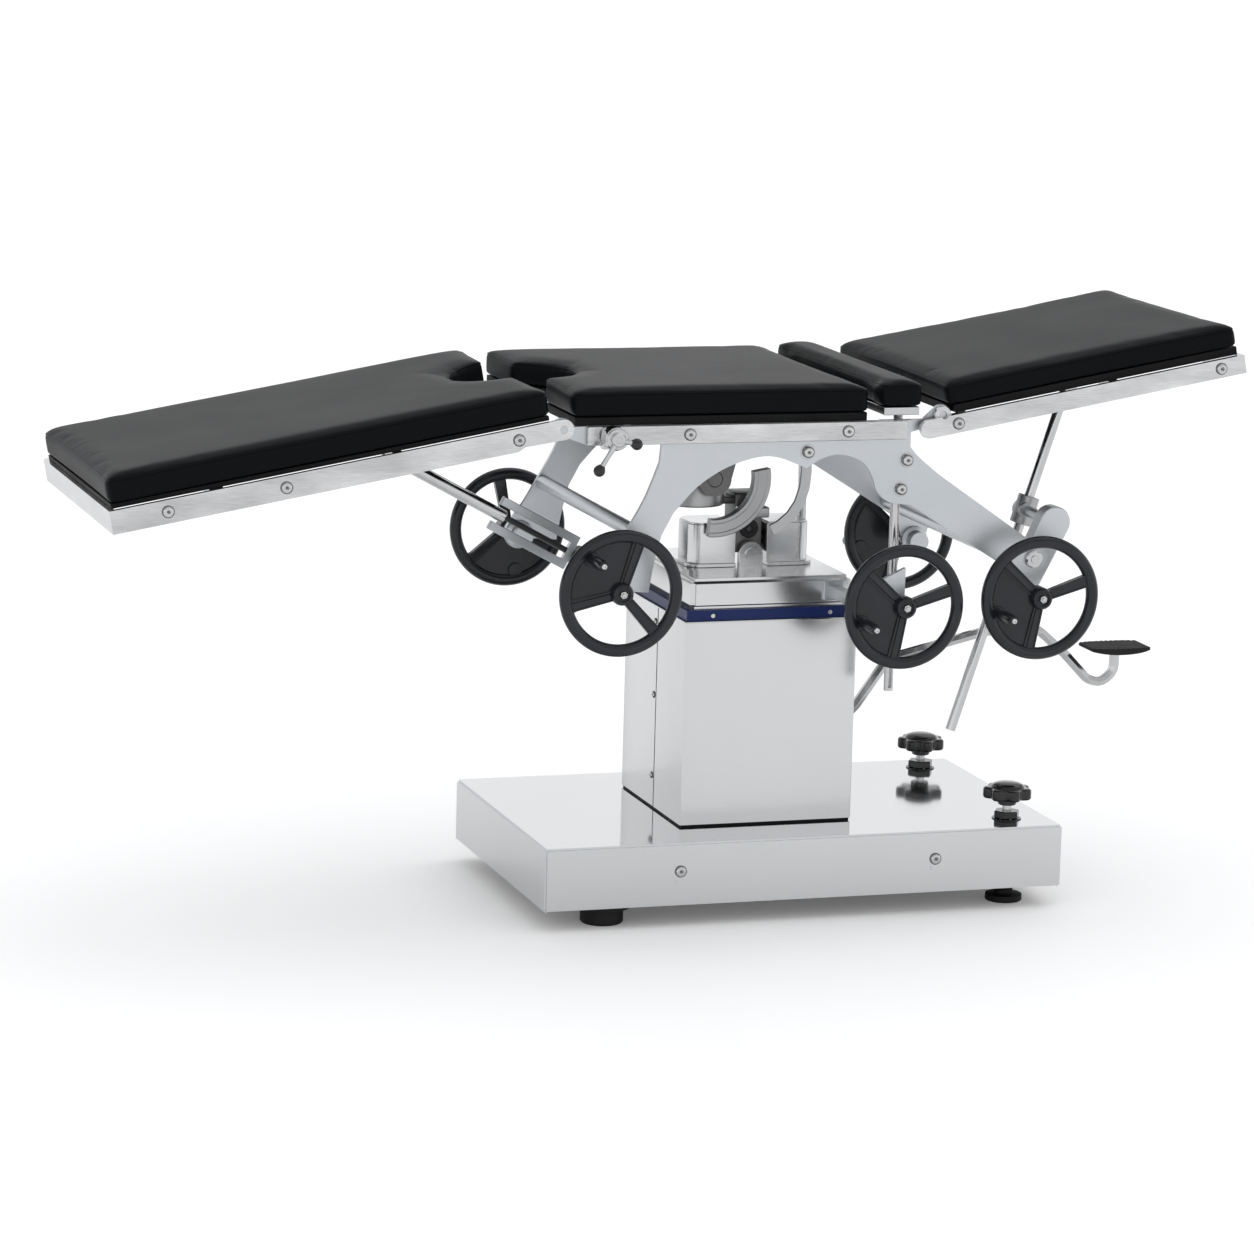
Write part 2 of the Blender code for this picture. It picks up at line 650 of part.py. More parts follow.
def base_cover():
    half = BASE_DEPTH / 2
    shell = box((0, -half, FOOT_HEIGHT), (BASE_LENGTH, half, BASE_TOP), BASE_EDGE, 2)
    inside = box(
        (BASE_WALL, BASE_WALL - half, FOOT_HEIGHT - OVERRUN),
        (BASE_LENGTH - BASE_WALL, half - BASE_WALL, BASE_TOP - BASE_WALL), BASE_EDGE / 2)
    cuts = [inside, rod((COLUMN_CENTRE_X, 0, FOOT_HEIGHT), (COLUMN_CENTRE_X, 0, BASE_TOP + OVERRUN),
                        CYLINDER_RADIUS + CYLINDER_CLEARANCE, SIDES_LARGE)]
    nuts = []
    for name, side in both_sides():
        x, y = level_place(side)
        nut_top = BASE_TOP + LOCK_NUT_HEIGHT
        nuts.append(rod(*upright(x, y, BASE_TOP - BASE_WALL / 2, nut_top), LOCK_NUT_RADIUS, edge=CHAMFER))
        cuts.append(rod(*upright(x, y, FOOT_HEIGHT, nut_top + OVERRUN), LEVEL_STEM_RADIUS + FIT))
    screws = [rod((share * BASE_LENGTH, -half + OVERRUN / 4, BASE_TOP - BASE_HEIGHT * BASE_SCREW_SHARE),
                  (share * BASE_LENGTH, -half - SCREW_HEIGHT, BASE_TOP - BASE_HEIGHT * BASE_SCREW_SHARE),
                  SCREW_RADIUS, SIDES_SMALL) for share in BASE_SCREW_X_SHARES]
    skirt, hollow = column_skirt()
    return finish("base_cover", [shell, skirt, *nuts, *screws], [*cuts, hollow], STEEL)


def level_place(side):
    return BASE_LENGTH - LEVEL_INSET_X, side * (BASE_DEPTH / 2 - LEVEL_INSET_Y)


def foot_place(side):
    return FOOT_INSET_X, side * (BASE_DEPTH / 2 - FOOT_INSET_Y)


def base_chassis():
    half = BASE_DEPTH / 2 - BASE_WALL - FIT
    low = FOOT_HEIGHT + CHASSIS_LIP
    end = BASE_WALL + FIT
    plate = box((end, -half, low), (BASE_LENGTH - end, half, low + CHASSIS_HEIGHT), BASE_EDGE)
    seat = BASE_TOP - BASE_WALL - FIT
    ring = rod(*upright(COLUMN_CENTRE_X, 0, low + OVERRUN, seat), CYLINDER_RADIUS * 2, SIDES_LARGE)
    barrel, bore = lift_cylinder(low)
    adds = [plate, ring, barrel]
    cuts = [bore]
    for name, side in both_sides():
        x, y = level_place(side)
        adds.append(rod((x, y, low + OVERRUN), (x, y, seat), LOCK_NUT_RADIUS * 2))
        cuts.append(rod((x, y, 0), (x, y, BASE_TOP), LEVEL_STEM_RADIUS + FIT))
    return finish("base_chassis", adds, cuts, CAST)


def fixed_foot(name, side):
    x, y = foot_place(side)
    top = FOOT_HEIGHT + CHASSIS_LIP - FIT
    flange = top - FOOT_FLANGE_THICKNESS
    profile = [
        (FOOT_RADIUS - CHAMFER * 3, 0), (FOOT_RADIUS, CHAMFER * 3), (FOOT_RADIUS, flange - CHAMFER * 2),
        (FOOT_FLANGE_RADIUS - CHAMFER, flange - CHAMFER), (FOOT_FLANGE_RADIUS, flange),
        (FOOT_FLANGE_RADIUS, top - CHAMFER), (FOOT_FLANGE_RADIUS - CHAMFER, top)]
    return finish("foot_" + name, [lathe(profile, (x, y, 0), (0, 0, 1), SIDES_LARGE)], (), RUBBER)


def level_foot(name, side):
    x, y = level_place(side)
    pad = [
        (LEVEL_PAD_RADIUS - CHAMFER * 2, 0), (LEVEL_PAD_RADIUS, CHAMFER * 2),
        (LEVEL_PAD_RADIUS, LEVEL_PAD_HEIGHT - LEVEL_SOCKET_HEIGHT),
        (LEVEL_SOCKET_RADIUS, LEVEL_PAD_HEIGHT - LEVEL_SOCKET_HEIGHT + CHAMFER * 2),
        (LEVEL_SOCKET_RADIUS, LEVEL_PAD_HEIGHT), (LEVEL_STUD_RADIUS, LEVEL_PAD_HEIGHT),
        (LEVEL_STUD_RADIUS, LEVEL_PAD_HEIGHT + LEVEL_STUD_LENGTH)]
    return finish("level_foot_" + name, [lathe(pad, (x, y, 0), (0, 0, 1), SIDES_LARGE)], (), RUBBER,
                  origin=(x, y, 0))


def level_knob(name, side):
    x, y = level_place(side)
    head = BASE_TOP + LOCK_NUT_HEIGHT + KNOB_LIFT
    outline = []
    for k in range(KNOB_LOBE_COUNT * 4):
        t = 2 * pi * k / (KNOB_LOBE_COUNT * 4)
        r = KNOB_RADIUS - KNOB_LOBE_RADIUS / 2 + KNOB_LOBE_RADIUS / 2 * cos(KNOB_LOBE_COUNT * t)
        outline.append((x + r * cos(t), y + r * sin(t)))
    star = prism(outline, head, head + KNOB_HEIGHT * KNOB_STAR_SHARE, KNOB_HEIGHT / 8, 1, "Z")
    profile = [(KNOB_RADIUS * a, KNOB_HEIGHT * b) for a, b in KNOB_DOME_SHARES]
    dome = lathe(profile, (x, y, head + KNOB_HEIGHT * KNOB_STAR_SHARE - CHAMFER), (0, 0, 1), SIDES_MEDIUM)
    neck = rod((x, y, head - KNOB_NECK_HEIGHT), (x, y, head + OVERRUN), KNOB_NECK_RADIUS)
    low = LEVEL_PAD_HEIGHT + LEVEL_TRAVEL + FIT
    stem = rod((x, y, low), (x, y, head), LEVEL_STEM_RADIUS)
    bore = rod((x, y, low - OVERRUN), (x, y, low + LEVEL_STUD_LENGTH + FIT), LEVEL_STUD_RADIUS + FIT)
    return finish("level_knob_" + name, [star, dome, neck, stem], [bore], PLASTIC, origin=(x, y, BASE_TOP))


# Column and lift

def column_cover(name, side):
    length, depth = COLUMN_LENGTH / 2, COLUMN_DEPTH / 2
    left, right = COLUMN_CENTRE_X - length, COLUMN_CENTRE_X + length
    corner = COLUMN_WALL
    plan = [*arc((right - corner, depth - corner), corner, 0, pi / 2, 3),
            *arc((left + corner, depth - corner), corner, pi / 2, pi, 3),
            *arc((left + corner, corner - depth), corner, pi, 3 * pi / 2, 3),
            *arc((right - corner, corner - depth), corner, 3 * pi / 2, 2 * pi, 3)]
    outer = prism(plan, COLUMN_BOTTOM, COLUMN_TOP, axis="Z")
    inner = box((left + COLUMN_WALL, COLUMN_WALL - depth, COLUMN_BOTTOM - OVERRUN),
                (right - COLUMN_WALL, depth - COLUMN_WALL, COLUMN_TOP + OVERRUN))
    away = (COLUMN_SEAM_Y + side * FIT / 2, side * -(depth + OVERRUN))
    half = box((left - OVERRUN, min(away), COLUMN_BOTTOM - OVERRUN),
               (right + OVERRUN, max(away), COLUMN_TOP + OVERRUN))
    return finish("column_cover_" + name, [outer], [inner, half], STEEL)


def column_skirt():
    """The low frame on the base that the column cover is slipped over, and its hollow."""
    length, depth = COLUMN_LENGTH / 2 - COLUMN_WALL - FIT, COLUMN_DEPTH / 2 - COLUMN_WALL - FIT
    low, high = BASE_TOP - BASE_WALL / 2, COLUMN_BOTTOM + COLUMN_FOOT_GAP * 3
    outer = box((COLUMN_CENTRE_X - length, -depth, low), (COLUMN_CENTRE_X + length, depth, high))
    wall = COLUMN_WALL * 4
    hollow = box((COLUMN_CENTRE_X - length + wall, wall - depth, BASE_TOP),
                 (COLUMN_CENTRE_X + length - wall, depth - wall, high + OVERRUN))
    return outer, hollow


def lift_sleeve():
    gap = COLUMN_WALL + SLEEVE_GAP
    length, depth = COLUMN_LENGTH / 2 - gap, COLUMN_DEPTH / 2 - gap
    low = COLUMN_BOTTOM + SLEEVE_END_GAP
    outer = box((COLUMN_CENTRE_X - length, -depth, low), (COLUMN_CENTRE_X + length, depth, SLEEVE_TOP))
    wall = SLEEVE_WALL
    inner = box((COLUMN_CENTRE_X - length + wall, wall - depth, low - OVERRUN),
                (COLUMN_CENTRE_X + length - wall, depth - wall, SLEEVE_TOP - wall))
    shell = finish("lift_sleeve", [outer], [inner], NAVY)
    return finish_again(shell, [lift_ram()])


def lift_cylinder(floor):
    """The barrel of the lift cylinder, standing on the chassis, and its bore."""
    low = floor + OVERRUN
    high = COLUMN_TOP - SLEEVE_WALL * 4
    barrel = rod(*upright(COLUMN_CENTRE_X, 0, low, high), CYLINDER_RADIUS, SIDES_LARGE, edge=CHAMFER)
    bore = rod((COLUMN_CENTRE_X, 0, low + CYLINDER_FLOOR), (COLUMN_CENTRE_X, 0, high + OVERRUN),
               RAM_RADIUS + RAM_BORE_GAP, SIDES_LARGE)
    return barrel, bore


def lift_ram():
    top = SLEEVE_TOP - SLEEVE_WALL / 2
    low = FOOT_HEIGHT + CHASSIS_LIP + CYLINDER_FLOOR + RAM_END_GAP
    return rod((COLUMN_CENTRE_X, 0, low), (COLUMN_CENTRE_X, 0, top), RAM_RADIUS, SIDES_LARGE, edge=CHAMFER)


def lid():
    length = COLUMN_LENGTH / 2 - LID_INSET
    body = box((COLUMN_CENTRE_X - length, LID_NEAR_Y, LID_BOTTOM),
               (COLUMN_CENTRE_X + length, -LID_NEAR_Y, LID_TOP), LID_EDGE, 3)
    return finish("head_lid", [body, *clevis()], (), STEEL)


def tower(name, side):
    """A D-section tower, its flat face towards the other one."""
    flat = COLUMN_CENTRE_X + side * TOWER_GAP / 2
    half = TOWER_DEPTH / 2
    middle = TOWER_LENGTH - TOWER_ROUND
    far_round = arc((middle, half - TOWER_ROUND), TOWER_ROUND, pi / 2, 0, 8)
    near_round = arc((middle, TOWER_ROUND - half), TOWER_ROUND, 0, -pi / 2, 8)
    plan = [(0, half), *far_round, *near_round, (0, -half)]
    grow_x, grow_y = 1 + TOWER_FLANGE / TOWER_LENGTH, 1 + TOWER_FLANGE / half
    low = LID_TOP + FIT
    body = prism([(flat + side * x, y) for x, y in plan], low, TOWER_TOP, CHAMFER * 3, 2, "Z")
    flange = [(flat + side * x * grow_x, y * grow_y) for x, y in plan]
    foot = prism(flange, low, low + TOWER_FLANGE_HEIGHT, 0, 1, "Z")
    start = (flat - side * OVERRUN, 0, SIDE_AXIS_Z)
    stop = (flat + side * (TOWER_LENGTH - TOWER_ROUND / 2), 0, SIDE_AXIS_Z)
    bore = turning_hole(start, stop, SIDE_PIN_RADIUS)
    return finish("tower_" + name, [body, foot], [bore], POLISHED)


def clevis():
    """The stop block on the lid between the towers, with its pin."""
    y = -TOWER_DEPTH / 2
    base = LID_TOP - CHAMFER
    axis = base + CLEVIS_RADIUS
    width = TOWER_GAP / 2 - FIT * 4
    outline = [(COLUMN_CENTRE_X - CLEVIS_RADIUS, base), (COLUMN_CENTRE_X + CLEVIS_RADIUS, base),
               *arc((COLUMN_CENTRE_X, axis), CLEVIS_RADIUS, 0, pi, 14)]
    plate = prism(outline, y, y + CLEVIS_THICKNESS, CHAMFER, 1)
    head = rod(*along_y(COLUMN_CENTRE_X, axis, y + CHAMFER, y - CLEVIS_PIN_HEAD), CLEVIS_PIN_RADIUS)
    return plate, head


# Tilt head

def cradle():
    """The casting that rocks sideways between the towers and carries the long tilt pin."""
    axis = SIDE_AXIS_Z
    drum_low = TILT_AXIS_Z - DRUM_CLEARANCE - DRUM_HEIGHT / 2
    half = CRADLE_BLOCK_DEPTH / 2
    block = box((COLUMN_CENTRE_X - CRADLE_BLOCK_LENGTH / 2, -half, axis - CRADLE_BLOCK_DROP),
                (COLUMN_CENTRE_X + CRADLE_BLOCK_LENGTH / 2, half, drum_low + DRUM_HEIGHT / 2), CHAMFER * 4)
    reach = TOWER_GAP / 2 + TOWER_LENGTH - TOWER_ROUND
    left, right = (COLUMN_CENTRE_X - reach, 0, axis), (COLUMN_CENTRE_X + reach, 0, axis)
    pin = turning_pin(left, right, SIDE_PIN_RADIUS)
    centre = TILT_AXIS_X - DRUM_CENTRE_BACK
    drum_line = upright(centre, 0, drum_low, drum_low + DRUM_HEIGHT)
    drum = rod(*drum_line, DRUM_RADIUS, SIDES_LARGE, edge=CHAMFER * 2)
    web = half - CHAMFER * 5
    bridge = box((centre, -web, drum_low + CHAMFER), (COLUMN_CENTRE_X, web, drum_low + DRUM_HEIGHT / 3))
    hub = rod(*along_y(TILT_AXIS_X, TILT_AXIS_Z, -TILT_HUB_LENGTH / 2, TILT_HUB_LENGTH / 2),
              TILT_HUB_RADIUS, SIDES_LARGE, edge=CHAMFER * 2)
    end = TILT_HUB_LENGTH / 2 + YOKE_GAP + YOKE_THICKNESS + FIT
    pivot = turning_pin(*along_y(TILT_AXIS_X, TILT_AXIS_Z, -end, end), TILT_PIN_RADIUS)
    roller = rod(*along_y(COLUMN_CENTRE_X, axis + ROLLER_RISE, -half - ROLLER_REACH, CHAMFER - half),
                 ROLLER_RADIUS)
    adds = [hub, pivot, drum, bridge, block, pin, roller]
    return finish("cradle", adds, (), CAST, origin=(COLUMN_CENTRE_X, 0, axis))


def crescent():
    """The grooved sector in front of the towers."""
    face = -TOWER_DEPTH / 2 - CRESCENT_GAP
    centre = (TILT_AXIS_X, TILT_AXIS_Z)
    outline = [*arc(centre, CRESCENT_OUTER, CRESCENT_START, CRESCENT_END, 26),
               *arc(centre, CRESCENT_INNER, CRESCENT_END, CRESCENT_START, 22)]
    body = prism(outline, face - CRESCENT_THICKNESS, face, CHAMFER, 1)
    mid = face - CRESCENT_THICKNESS / 2
    start, end = CRESCENT_START + CRESCENT_GROOVE_RUN, CRESCENT_END - CRESCENT_GROOVE_RUN
    groove = [*arc(centre, CRESCENT_OUTER + OVERRUN, start, end, 20),
              *arc(centre, CRESCENT_OUTER - CRESCENT_GROOVE, end, start, 20)]
    cut = prism(groove, mid - CRESCENT_GROOVE / 2, mid + CRESCENT_GROOVE / 2)
    block_face = -CRADLE_BLOCK_DEPTH / 2 - FIT
    low = TOWER_TOP + CRESCENT_GAP
    carrier = box((COLUMN_CENTRE_X - CRADLE_BLOCK_LENGTH / 2, face - CRESCENT_THICKNESS / 2, low),
                  (COLUMN_CENTRE_X, block_face, low + CRESCENT_THICKNESS))
    return finish("crescent_sector", [body, carrier], [cut], POLISHED, origin=(TILT_AXIS_X, 0, TILT_AXIS_Z))


def yoke():
    """The saddle under the seat: two eyes on the long tilt pin, joined by a top plate to the beams."""
    inner = TILT_HUB_LENGTH / 2 + YOKE_GAP
    top = BOARD_BOTTOM - FIT
    left, right = BEAM_LEFT_X, BEAM_RIGHT_X
    plate_low = top - YOKE_THICKNESS
    outer = inner + YOKE_THICKNESS
    plate = box((left, -outer, plate_low), (right, outer, top))
    adds = [plate, beam(BEAM_LEFT_X), beam(BEAM_RIGHT_X)]
    cuts = []
    eye = YOKE_EYE_RADIUS
    for name, side in both_sides():
        outline = [(TILT_AXIS_X - eye * 2, plate_low + CHAMFER),
                   *arc((TILT_AXIS_X, TILT_AXIS_Z), eye, pi, 2 * pi, 18),
                   (TILT_AXIS_X + eye * 2, plate_low + CHAMFER)]
        adds.append(slab(outline, side, inner, outer))
        ends = side * (inner - OVERRUN), side * (outer + OVERRUN)
        cuts.append(turning_hole(*along_y(TILT_AXIS_X, TILT_AXIS_Z, *ends), TILT_PIN_RADIUS))
    return finish("seat_saddle", adds, cuts, CAST, origin=(TILT_AXIS_X, 0, TILT_AXIS_Z))


def beam(x):
    top = BOARD_BOTTOM - FIT
    edge = PLATE_INNER - FIT
    return box((x - BEAM_THICKNESS / 2, -edge, top - BEAM_HEIGHT), (x + BEAM_THICKNESS / 2, edge, top))


def mid_wheel_arm():
    """The middle handwheel's bracket: a flange on the lid, a bar past the side plate, and a bearing."""
    eye = SHAFT_COLLAR_RADIUS * MID_EYE_SHARE
    left, right = MID_BAR_X - MID_BAR_WIDTH / 2, MID_BAR_X + MID_BAR_WIDTH / 2
    low, high = WHEEL_MID_Z - eye, WHEEL_MID_Z + eye
    face = LID_NEAR_Y - FIT
    flange = box((left - eye / 2, face - MID_FLANGE_THICKNESS, low), (right + eye / 2, face, high), CHAMFER)
    outer = MID_ARM_OUTER_Y
    inner = outer + MID_BEARING_LENGTH
    bar = box((left, inner - PLATE_THICKNESS, low + MID_FLANGE_THICKNESS),
              (right, face - MID_FLANGE_THICKNESS / 2, high - MID_FLANGE_THICKNESS))
    outline = [(left, low), *arc((WHEEL_MID_X, WHEEL_MID_Z), eye, -pi / 2, 0, 6),
               (WHEEL_MID_X + eye, high + MID_GUSSET_RISE), (left, high)]
    plate = prism(outline, inner - PLATE_THICKNESS, inner)
    boss = rod(*along_y(WHEEL_MID_X, WHEEL_MID_Z, inner - CHAMFER, outer), eye)
    bore = turning_hole(*along_y(WHEEL_MID_X, WHEEL_MID_Z, inner + OVERRUN, outer - OVERRUN), SHAFT_RADIUS)
    return finish("mid_wheel_arm", [bar, flange, plate, boss], [bore], SATIN)


# Table frame

def plate_places(shares):
    """Places on a side plate, from shares of the span between its arm ends and of its height."""
    span, rise = ARM_END_X - WHEEL_LEFT_X, BOARD_BOTTOM - FIT - WHEEL_RIGHT_Z
    return [(WHEEL_LEFT_X + a * span, WHEEL_RIGHT_Z + b * rise) for a, b in shares]


def plate_outline():
    """From the top left down to the left foot, over the arch to the right foot, and up the arm's end."""
    top = BOARD_BOTTOM - FIT
    foot = arc((WHEEL_LEFT_X, WHEEL_LEFT_Z), ARM_END_RADIUS, *PLATE_FOOT_TURN, 14)
    end = arc((ARM_END_X, ARM_END_Z), ARM_END_RADIUS, *PLATE_END_TURN, 8)
    right_radius = ARM_END_RADIUS * PLATE_RIGHT_FOOT_SHARE
    right_foot = arc((WHEEL_RIGHT_X, WHEEL_RIGHT_Z), right_radius, pi, 2 * pi, 10)
    arm_top = smooth_line(plate_places(PLATE_ARM_TOP_SHARES))
    left = [*smooth_line(plate_places(PLATE_LEFT_EDGE_SHARES)), *plate_places(PLATE_LEFT_FOOT_SHARES)]
    inside = smooth_line(plate_places(PLATE_LEFT_INSIDE_SHARES))
    for shares in (PLATE_ARCH_LEFT_SHARES, PLATE_ARCH_RIGHT_SHARES):
        inside += smooth_line(plate_places(shares))
    corner = (WHEEL_RIGHT_X - ARM_END_RADIUS * 3 / 2, ARM_END_Z - ARM_END_RADIUS / 4)
    return [(PLATE_TOP_LEFT_X, top), *left, *foot, *inside, corner, *right_foot, *end, *reversed(arm_top),
            (arm_top[0][0], top)]


def side_plate(name, side):
    adds = [slab(plate_outline(), side, PLATE_INNER, PLATE_OUTER), *leg_hinge(side)]
    for x, z in plate_places(PLATE_BOLT_SHARES):
        ends = side * (PLATE_OUTER - PLATE_THICKNESS / 2), side * (PLATE_OUTER + BOLT_HEIGHT)
        adds.append(rod(*along_y(x, z, *ends), BOLT_RADIUS, SIDES_SMALL))
    cuts = []
    for x, z in ((WHEEL_LEFT_X, WHEEL_LEFT_Z), (WHEEL_RIGHT_X, WHEEL_RIGHT_Z)):
        if side > 0:
            adds.append(bearing(x, z))
            cuts.append(bearing_bore(x, z))
        else:
            ends = -PLATE_INNER + OVERRUN, -PLATE_OUTER - OVERRUN
            cuts.append(turning_hole(*along_y(x, z, *ends), SHAFT_RADIUS))
    return finish("side_plate_" + name, adds, cuts, SATIN)


def cross_tube(name, x, z):
    edge = PLATE_INNER - FIT
    body = rod((x, -edge, z), (x, edge, z), CROSS_TUBE_RADIUS, edge=CHAMFER)
    return finish("cross_tube_" + name, [body], (), SATIN)


def rail_screws(places, y, side):
    ends = side * (y - SCREW_HEIGHT), side * (y + SCREW_HEIGHT)
    return [rod(*along_y(x, z, *ends), SCREW_RADIUS, SIDES_SMALL) for x, z in places]


def seat_rail(name, side):
    inner, outer = side * RAIL_INNER, side * RAIL_OUTER
    body = box((SEAT_RAIL_LEFT, min(inner, outer), SEAT_RAIL_BOTTOM),
               (SEAT_RAIL_RIGHT, max(inner, outer), SEAT_RAIL_TOP), CHAMFER)
    mid = SEAT_RAIL_BOTTOM + SEAT_RAIL_HEIGHT / 2
    span = SEAT_RAIL_RIGHT - SEAT_RAIL_LEFT
    places = [(SEAT_RAIL_LEFT + share * span, mid) for share in SEAT_SCREW_SHARES]
    screws = rail_screws(places, RAIL_OUTER, side)
    return finish("seat_rail_" + name, [body, *screws], (), STEEL)


def leg_hinge(side):
    """The strap behind the seat rail, in one with the side plate, and the leg section's hinge pin."""
    top = SEAT_RAIL_TOP
    eye = HINGE_EYE_RADIUS
    right = PLATE_TOP_LEFT_X + eye
    outline = [(right, SEAT_RAIL_BOTTOM), (right, top), (SEAT_RAIL_LEFT, top),
               *arc((LEG_AXIS_X, LEG_AXIS_Z), eye, *LEG_STRAP_TURN, 18), (SEAT_RAIL_LEFT, SEAT_RAIL_BOTTOM)]
    strap = slab(outline, side, PLATE_INNER, PLATE_OUTER)
    ends = side * (PLATE_INNER + FIT), side * (RAIL_OUTER + FIT)
    return strap, turning_pin(*along_y(LEG_AXIS_X, LEG_AXIS_Z, *ends), HINGE_PIN_RADIUS)


def back_bracket(name, side):
    """The bracket at the seat's end that carries the back section's hinge pin."""
    eye = HINGE_EYE_RADIUS * BACK_EAR_SHARE
    face = PLATE_INNER - FIT
    inner = face - BACK_EAR_THICKNESS
    low = SEAT_RAIL_BOTTOM + LEG_RAIL_TAPER
    start = BACK_BRACKET_START
    outline = [(start, SEAT_RAIL_TOP), (start, low), (SEAT_RAIL_RIGHT, low),
               *arc((BACK_AXIS_X, BACK_AXIS_Z), eye, *BACK_EAR_TURN, 16),
               (BACK_AXIS_X - eye * 2, SEAT_RAIL_TOP)]
    body = slab(outline, side, inner, face)
    ends = side * (inner + FIT), side * PLATE_OUTER
    pin = turning_pin(*along_y(BACK_AXIS_X, BACK_AXIS_Z, *ends), HINGE_PIN_RADIUS)
    place = (BACK_AXIS_X, side * face, BACK_AXIS_Z)
    return finish("back_hinge_" + name, [body, pin], (), SATIN, origin=place)


# Boards and cushions

def cushion_mesh(x0, x1, z0, height):
    """A crowned pad: the sides bulge at mid height and draw in between the corners."""
    half = TOP_WIDTH / 2 - CUSHION_INSET
    mid = ((x0 + x1) / 2, 0)
    corner = CUSHION_CORNER
    plan = []
    for cx, cy, t0 in ((x1 - corner, half - corner, 0), (x0 + corner, half - corner, pi / 2),
                       (x0 + corner, corner - half, pi), (x1 - corner, corner - half, 3 * pi / 2)):
        plan += arc((cx, cy), corner, t0, t0 + pi / 2, 4)
    full = []
    for a, b in zip(plan, plan[1:] + plan[:1]):
        long_side = hypot(b[0] - a[0], b[1] - a[1]) > corner * 2
        parts = CUSHION_SIDE_PARTS if long_side else 1
        full += [(a[0] + (b[0] - a[0]) * k / parts, a[1] + (b[1] - a[1]) * k / parts) for k in range(parts)]
    drawn = []
    length, width = (x1 - x0) / 2, half
    for x, y in full:
        u, v = (x - mid[0]) / length, y / width
        pull_x = CUSHION_DRAW * (1 - v * v) if abs(u) > 0.999 else 0
        pull_y = CUSHION_DRAW * (1 - u * u) if abs(v) > 0.999 else 0
        drawn.append((x - pull_x * (1 if u > 0 else -1), y - pull_y * (1 if v > 0 else -1)))
    levels = [(inset * corner, rise * height) for inset, rise in CUSHION_SECTION_SHARES]
    bm = bmesh.new()
    rings = []
    for inset, z in levels:
        rings.append([bm.verts.new((shifted(x, mid[0], length, inset), shifted(y, 0, width, inset), z0 + z))
                      for x, y in drawn])
    top = height - CUSHION_CROWN
    inset = corner * CUSHION_SECTION_SHARES[-1][0]
    rim = [(shifted(x, mid[0], length, inset) - mid[0], shifted(y, 0, width, inset)) for x, y in drawn]
    for scale in CUSHION_TOP_SHARES:
        lift = CUSHION_CROWN * (1 - scale ** 4)
        rings.append([bm.verts.new((mid[0] + x * scale, y * scale, z0 + top + lift)) for x, y in rim])
    for lower, upper in zip(rings, rings[1:]):
        for k in range(len(lower)):
            n = (k + 1) % len(lower)
            bm.faces.new((lower[k], lower[n], upper[n], upper[k]))
    bm.faces.new(list(reversed(rings[0])))
    bm.faces.new(rings[-1])
    return piece(bm)


def shifted(value, centre, half, inset):
    """Moves a plan coordinate in from the edge by the inset, scaled about the middle."""
    return centre + (value - centre) * (half - inset) / half


def notch_cut(x, frame=None):
    ends = BOARD_BOTTOM - BOARD_THICKNESS, BOARD_TOP + CUSHION_HEIGHT * 2
    mesh = rod(*upright(x, NOTCH_CENTRE_Y, *ends), NOTCH_RADIUS, SIDES_LARGE)
    if frame:
        mesh.transform(frame.inverted())
    return mesh


def seat_cushion():
    mesh = cushion_mesh(SEAT_LEFT, SEAT_LEFT + SEAT_LENGTH, BOARD_TOP + FIT, CUSHION_HEIGHT)
    return finish("seat_cushion", [mesh], [notch_cut(NOTCH_X)], LEATHER)


def seat_board():
    edge = TOP_WIDTH / 2 - BOARD_INSET
    body = box((SEAT_LEFT + BOARD_MARGIN, -edge, BOARD_BOTTOM),
               (SEAT_LEFT + SEAT_LENGTH - BOARD_MARGIN, edge, BOARD_TOP), CHAMFER)
    return finish("seat_board", [body], [notch_cut(NOTCH_X)], PANEL)


def leg_cushion():
    base = LEG_RAIL_TOP + LEG_BOARD_THICKNESS + FIT * 2
    mesh = cushion_mesh(-LEG_LENGTH, -LEG_CUSHION_START, base, CUSHION_HEIGHT)
    return finish("leg_cushion", [mesh], [notch_cut(NOTCH_X, LEG_FRAME)], LEATHER, LEG_FRAME, LEG_AXIS)


def leg_board():
    edge = TOP_WIDTH / 2 - BOARD_INSET
    low = LEG_RAIL_TOP + FIT
    body = box((BOARD_MARGIN - LEG_LENGTH, -edge, low),
               (-LEG_CUSHION_START - BOARD_MARGIN, edge, low + LEG_BOARD_THICKNESS))
    return finish("leg_board", [body], [notch_cut(NOTCH_X, LEG_FRAME)], PANEL, LEG_FRAME, LEG_AXIS)


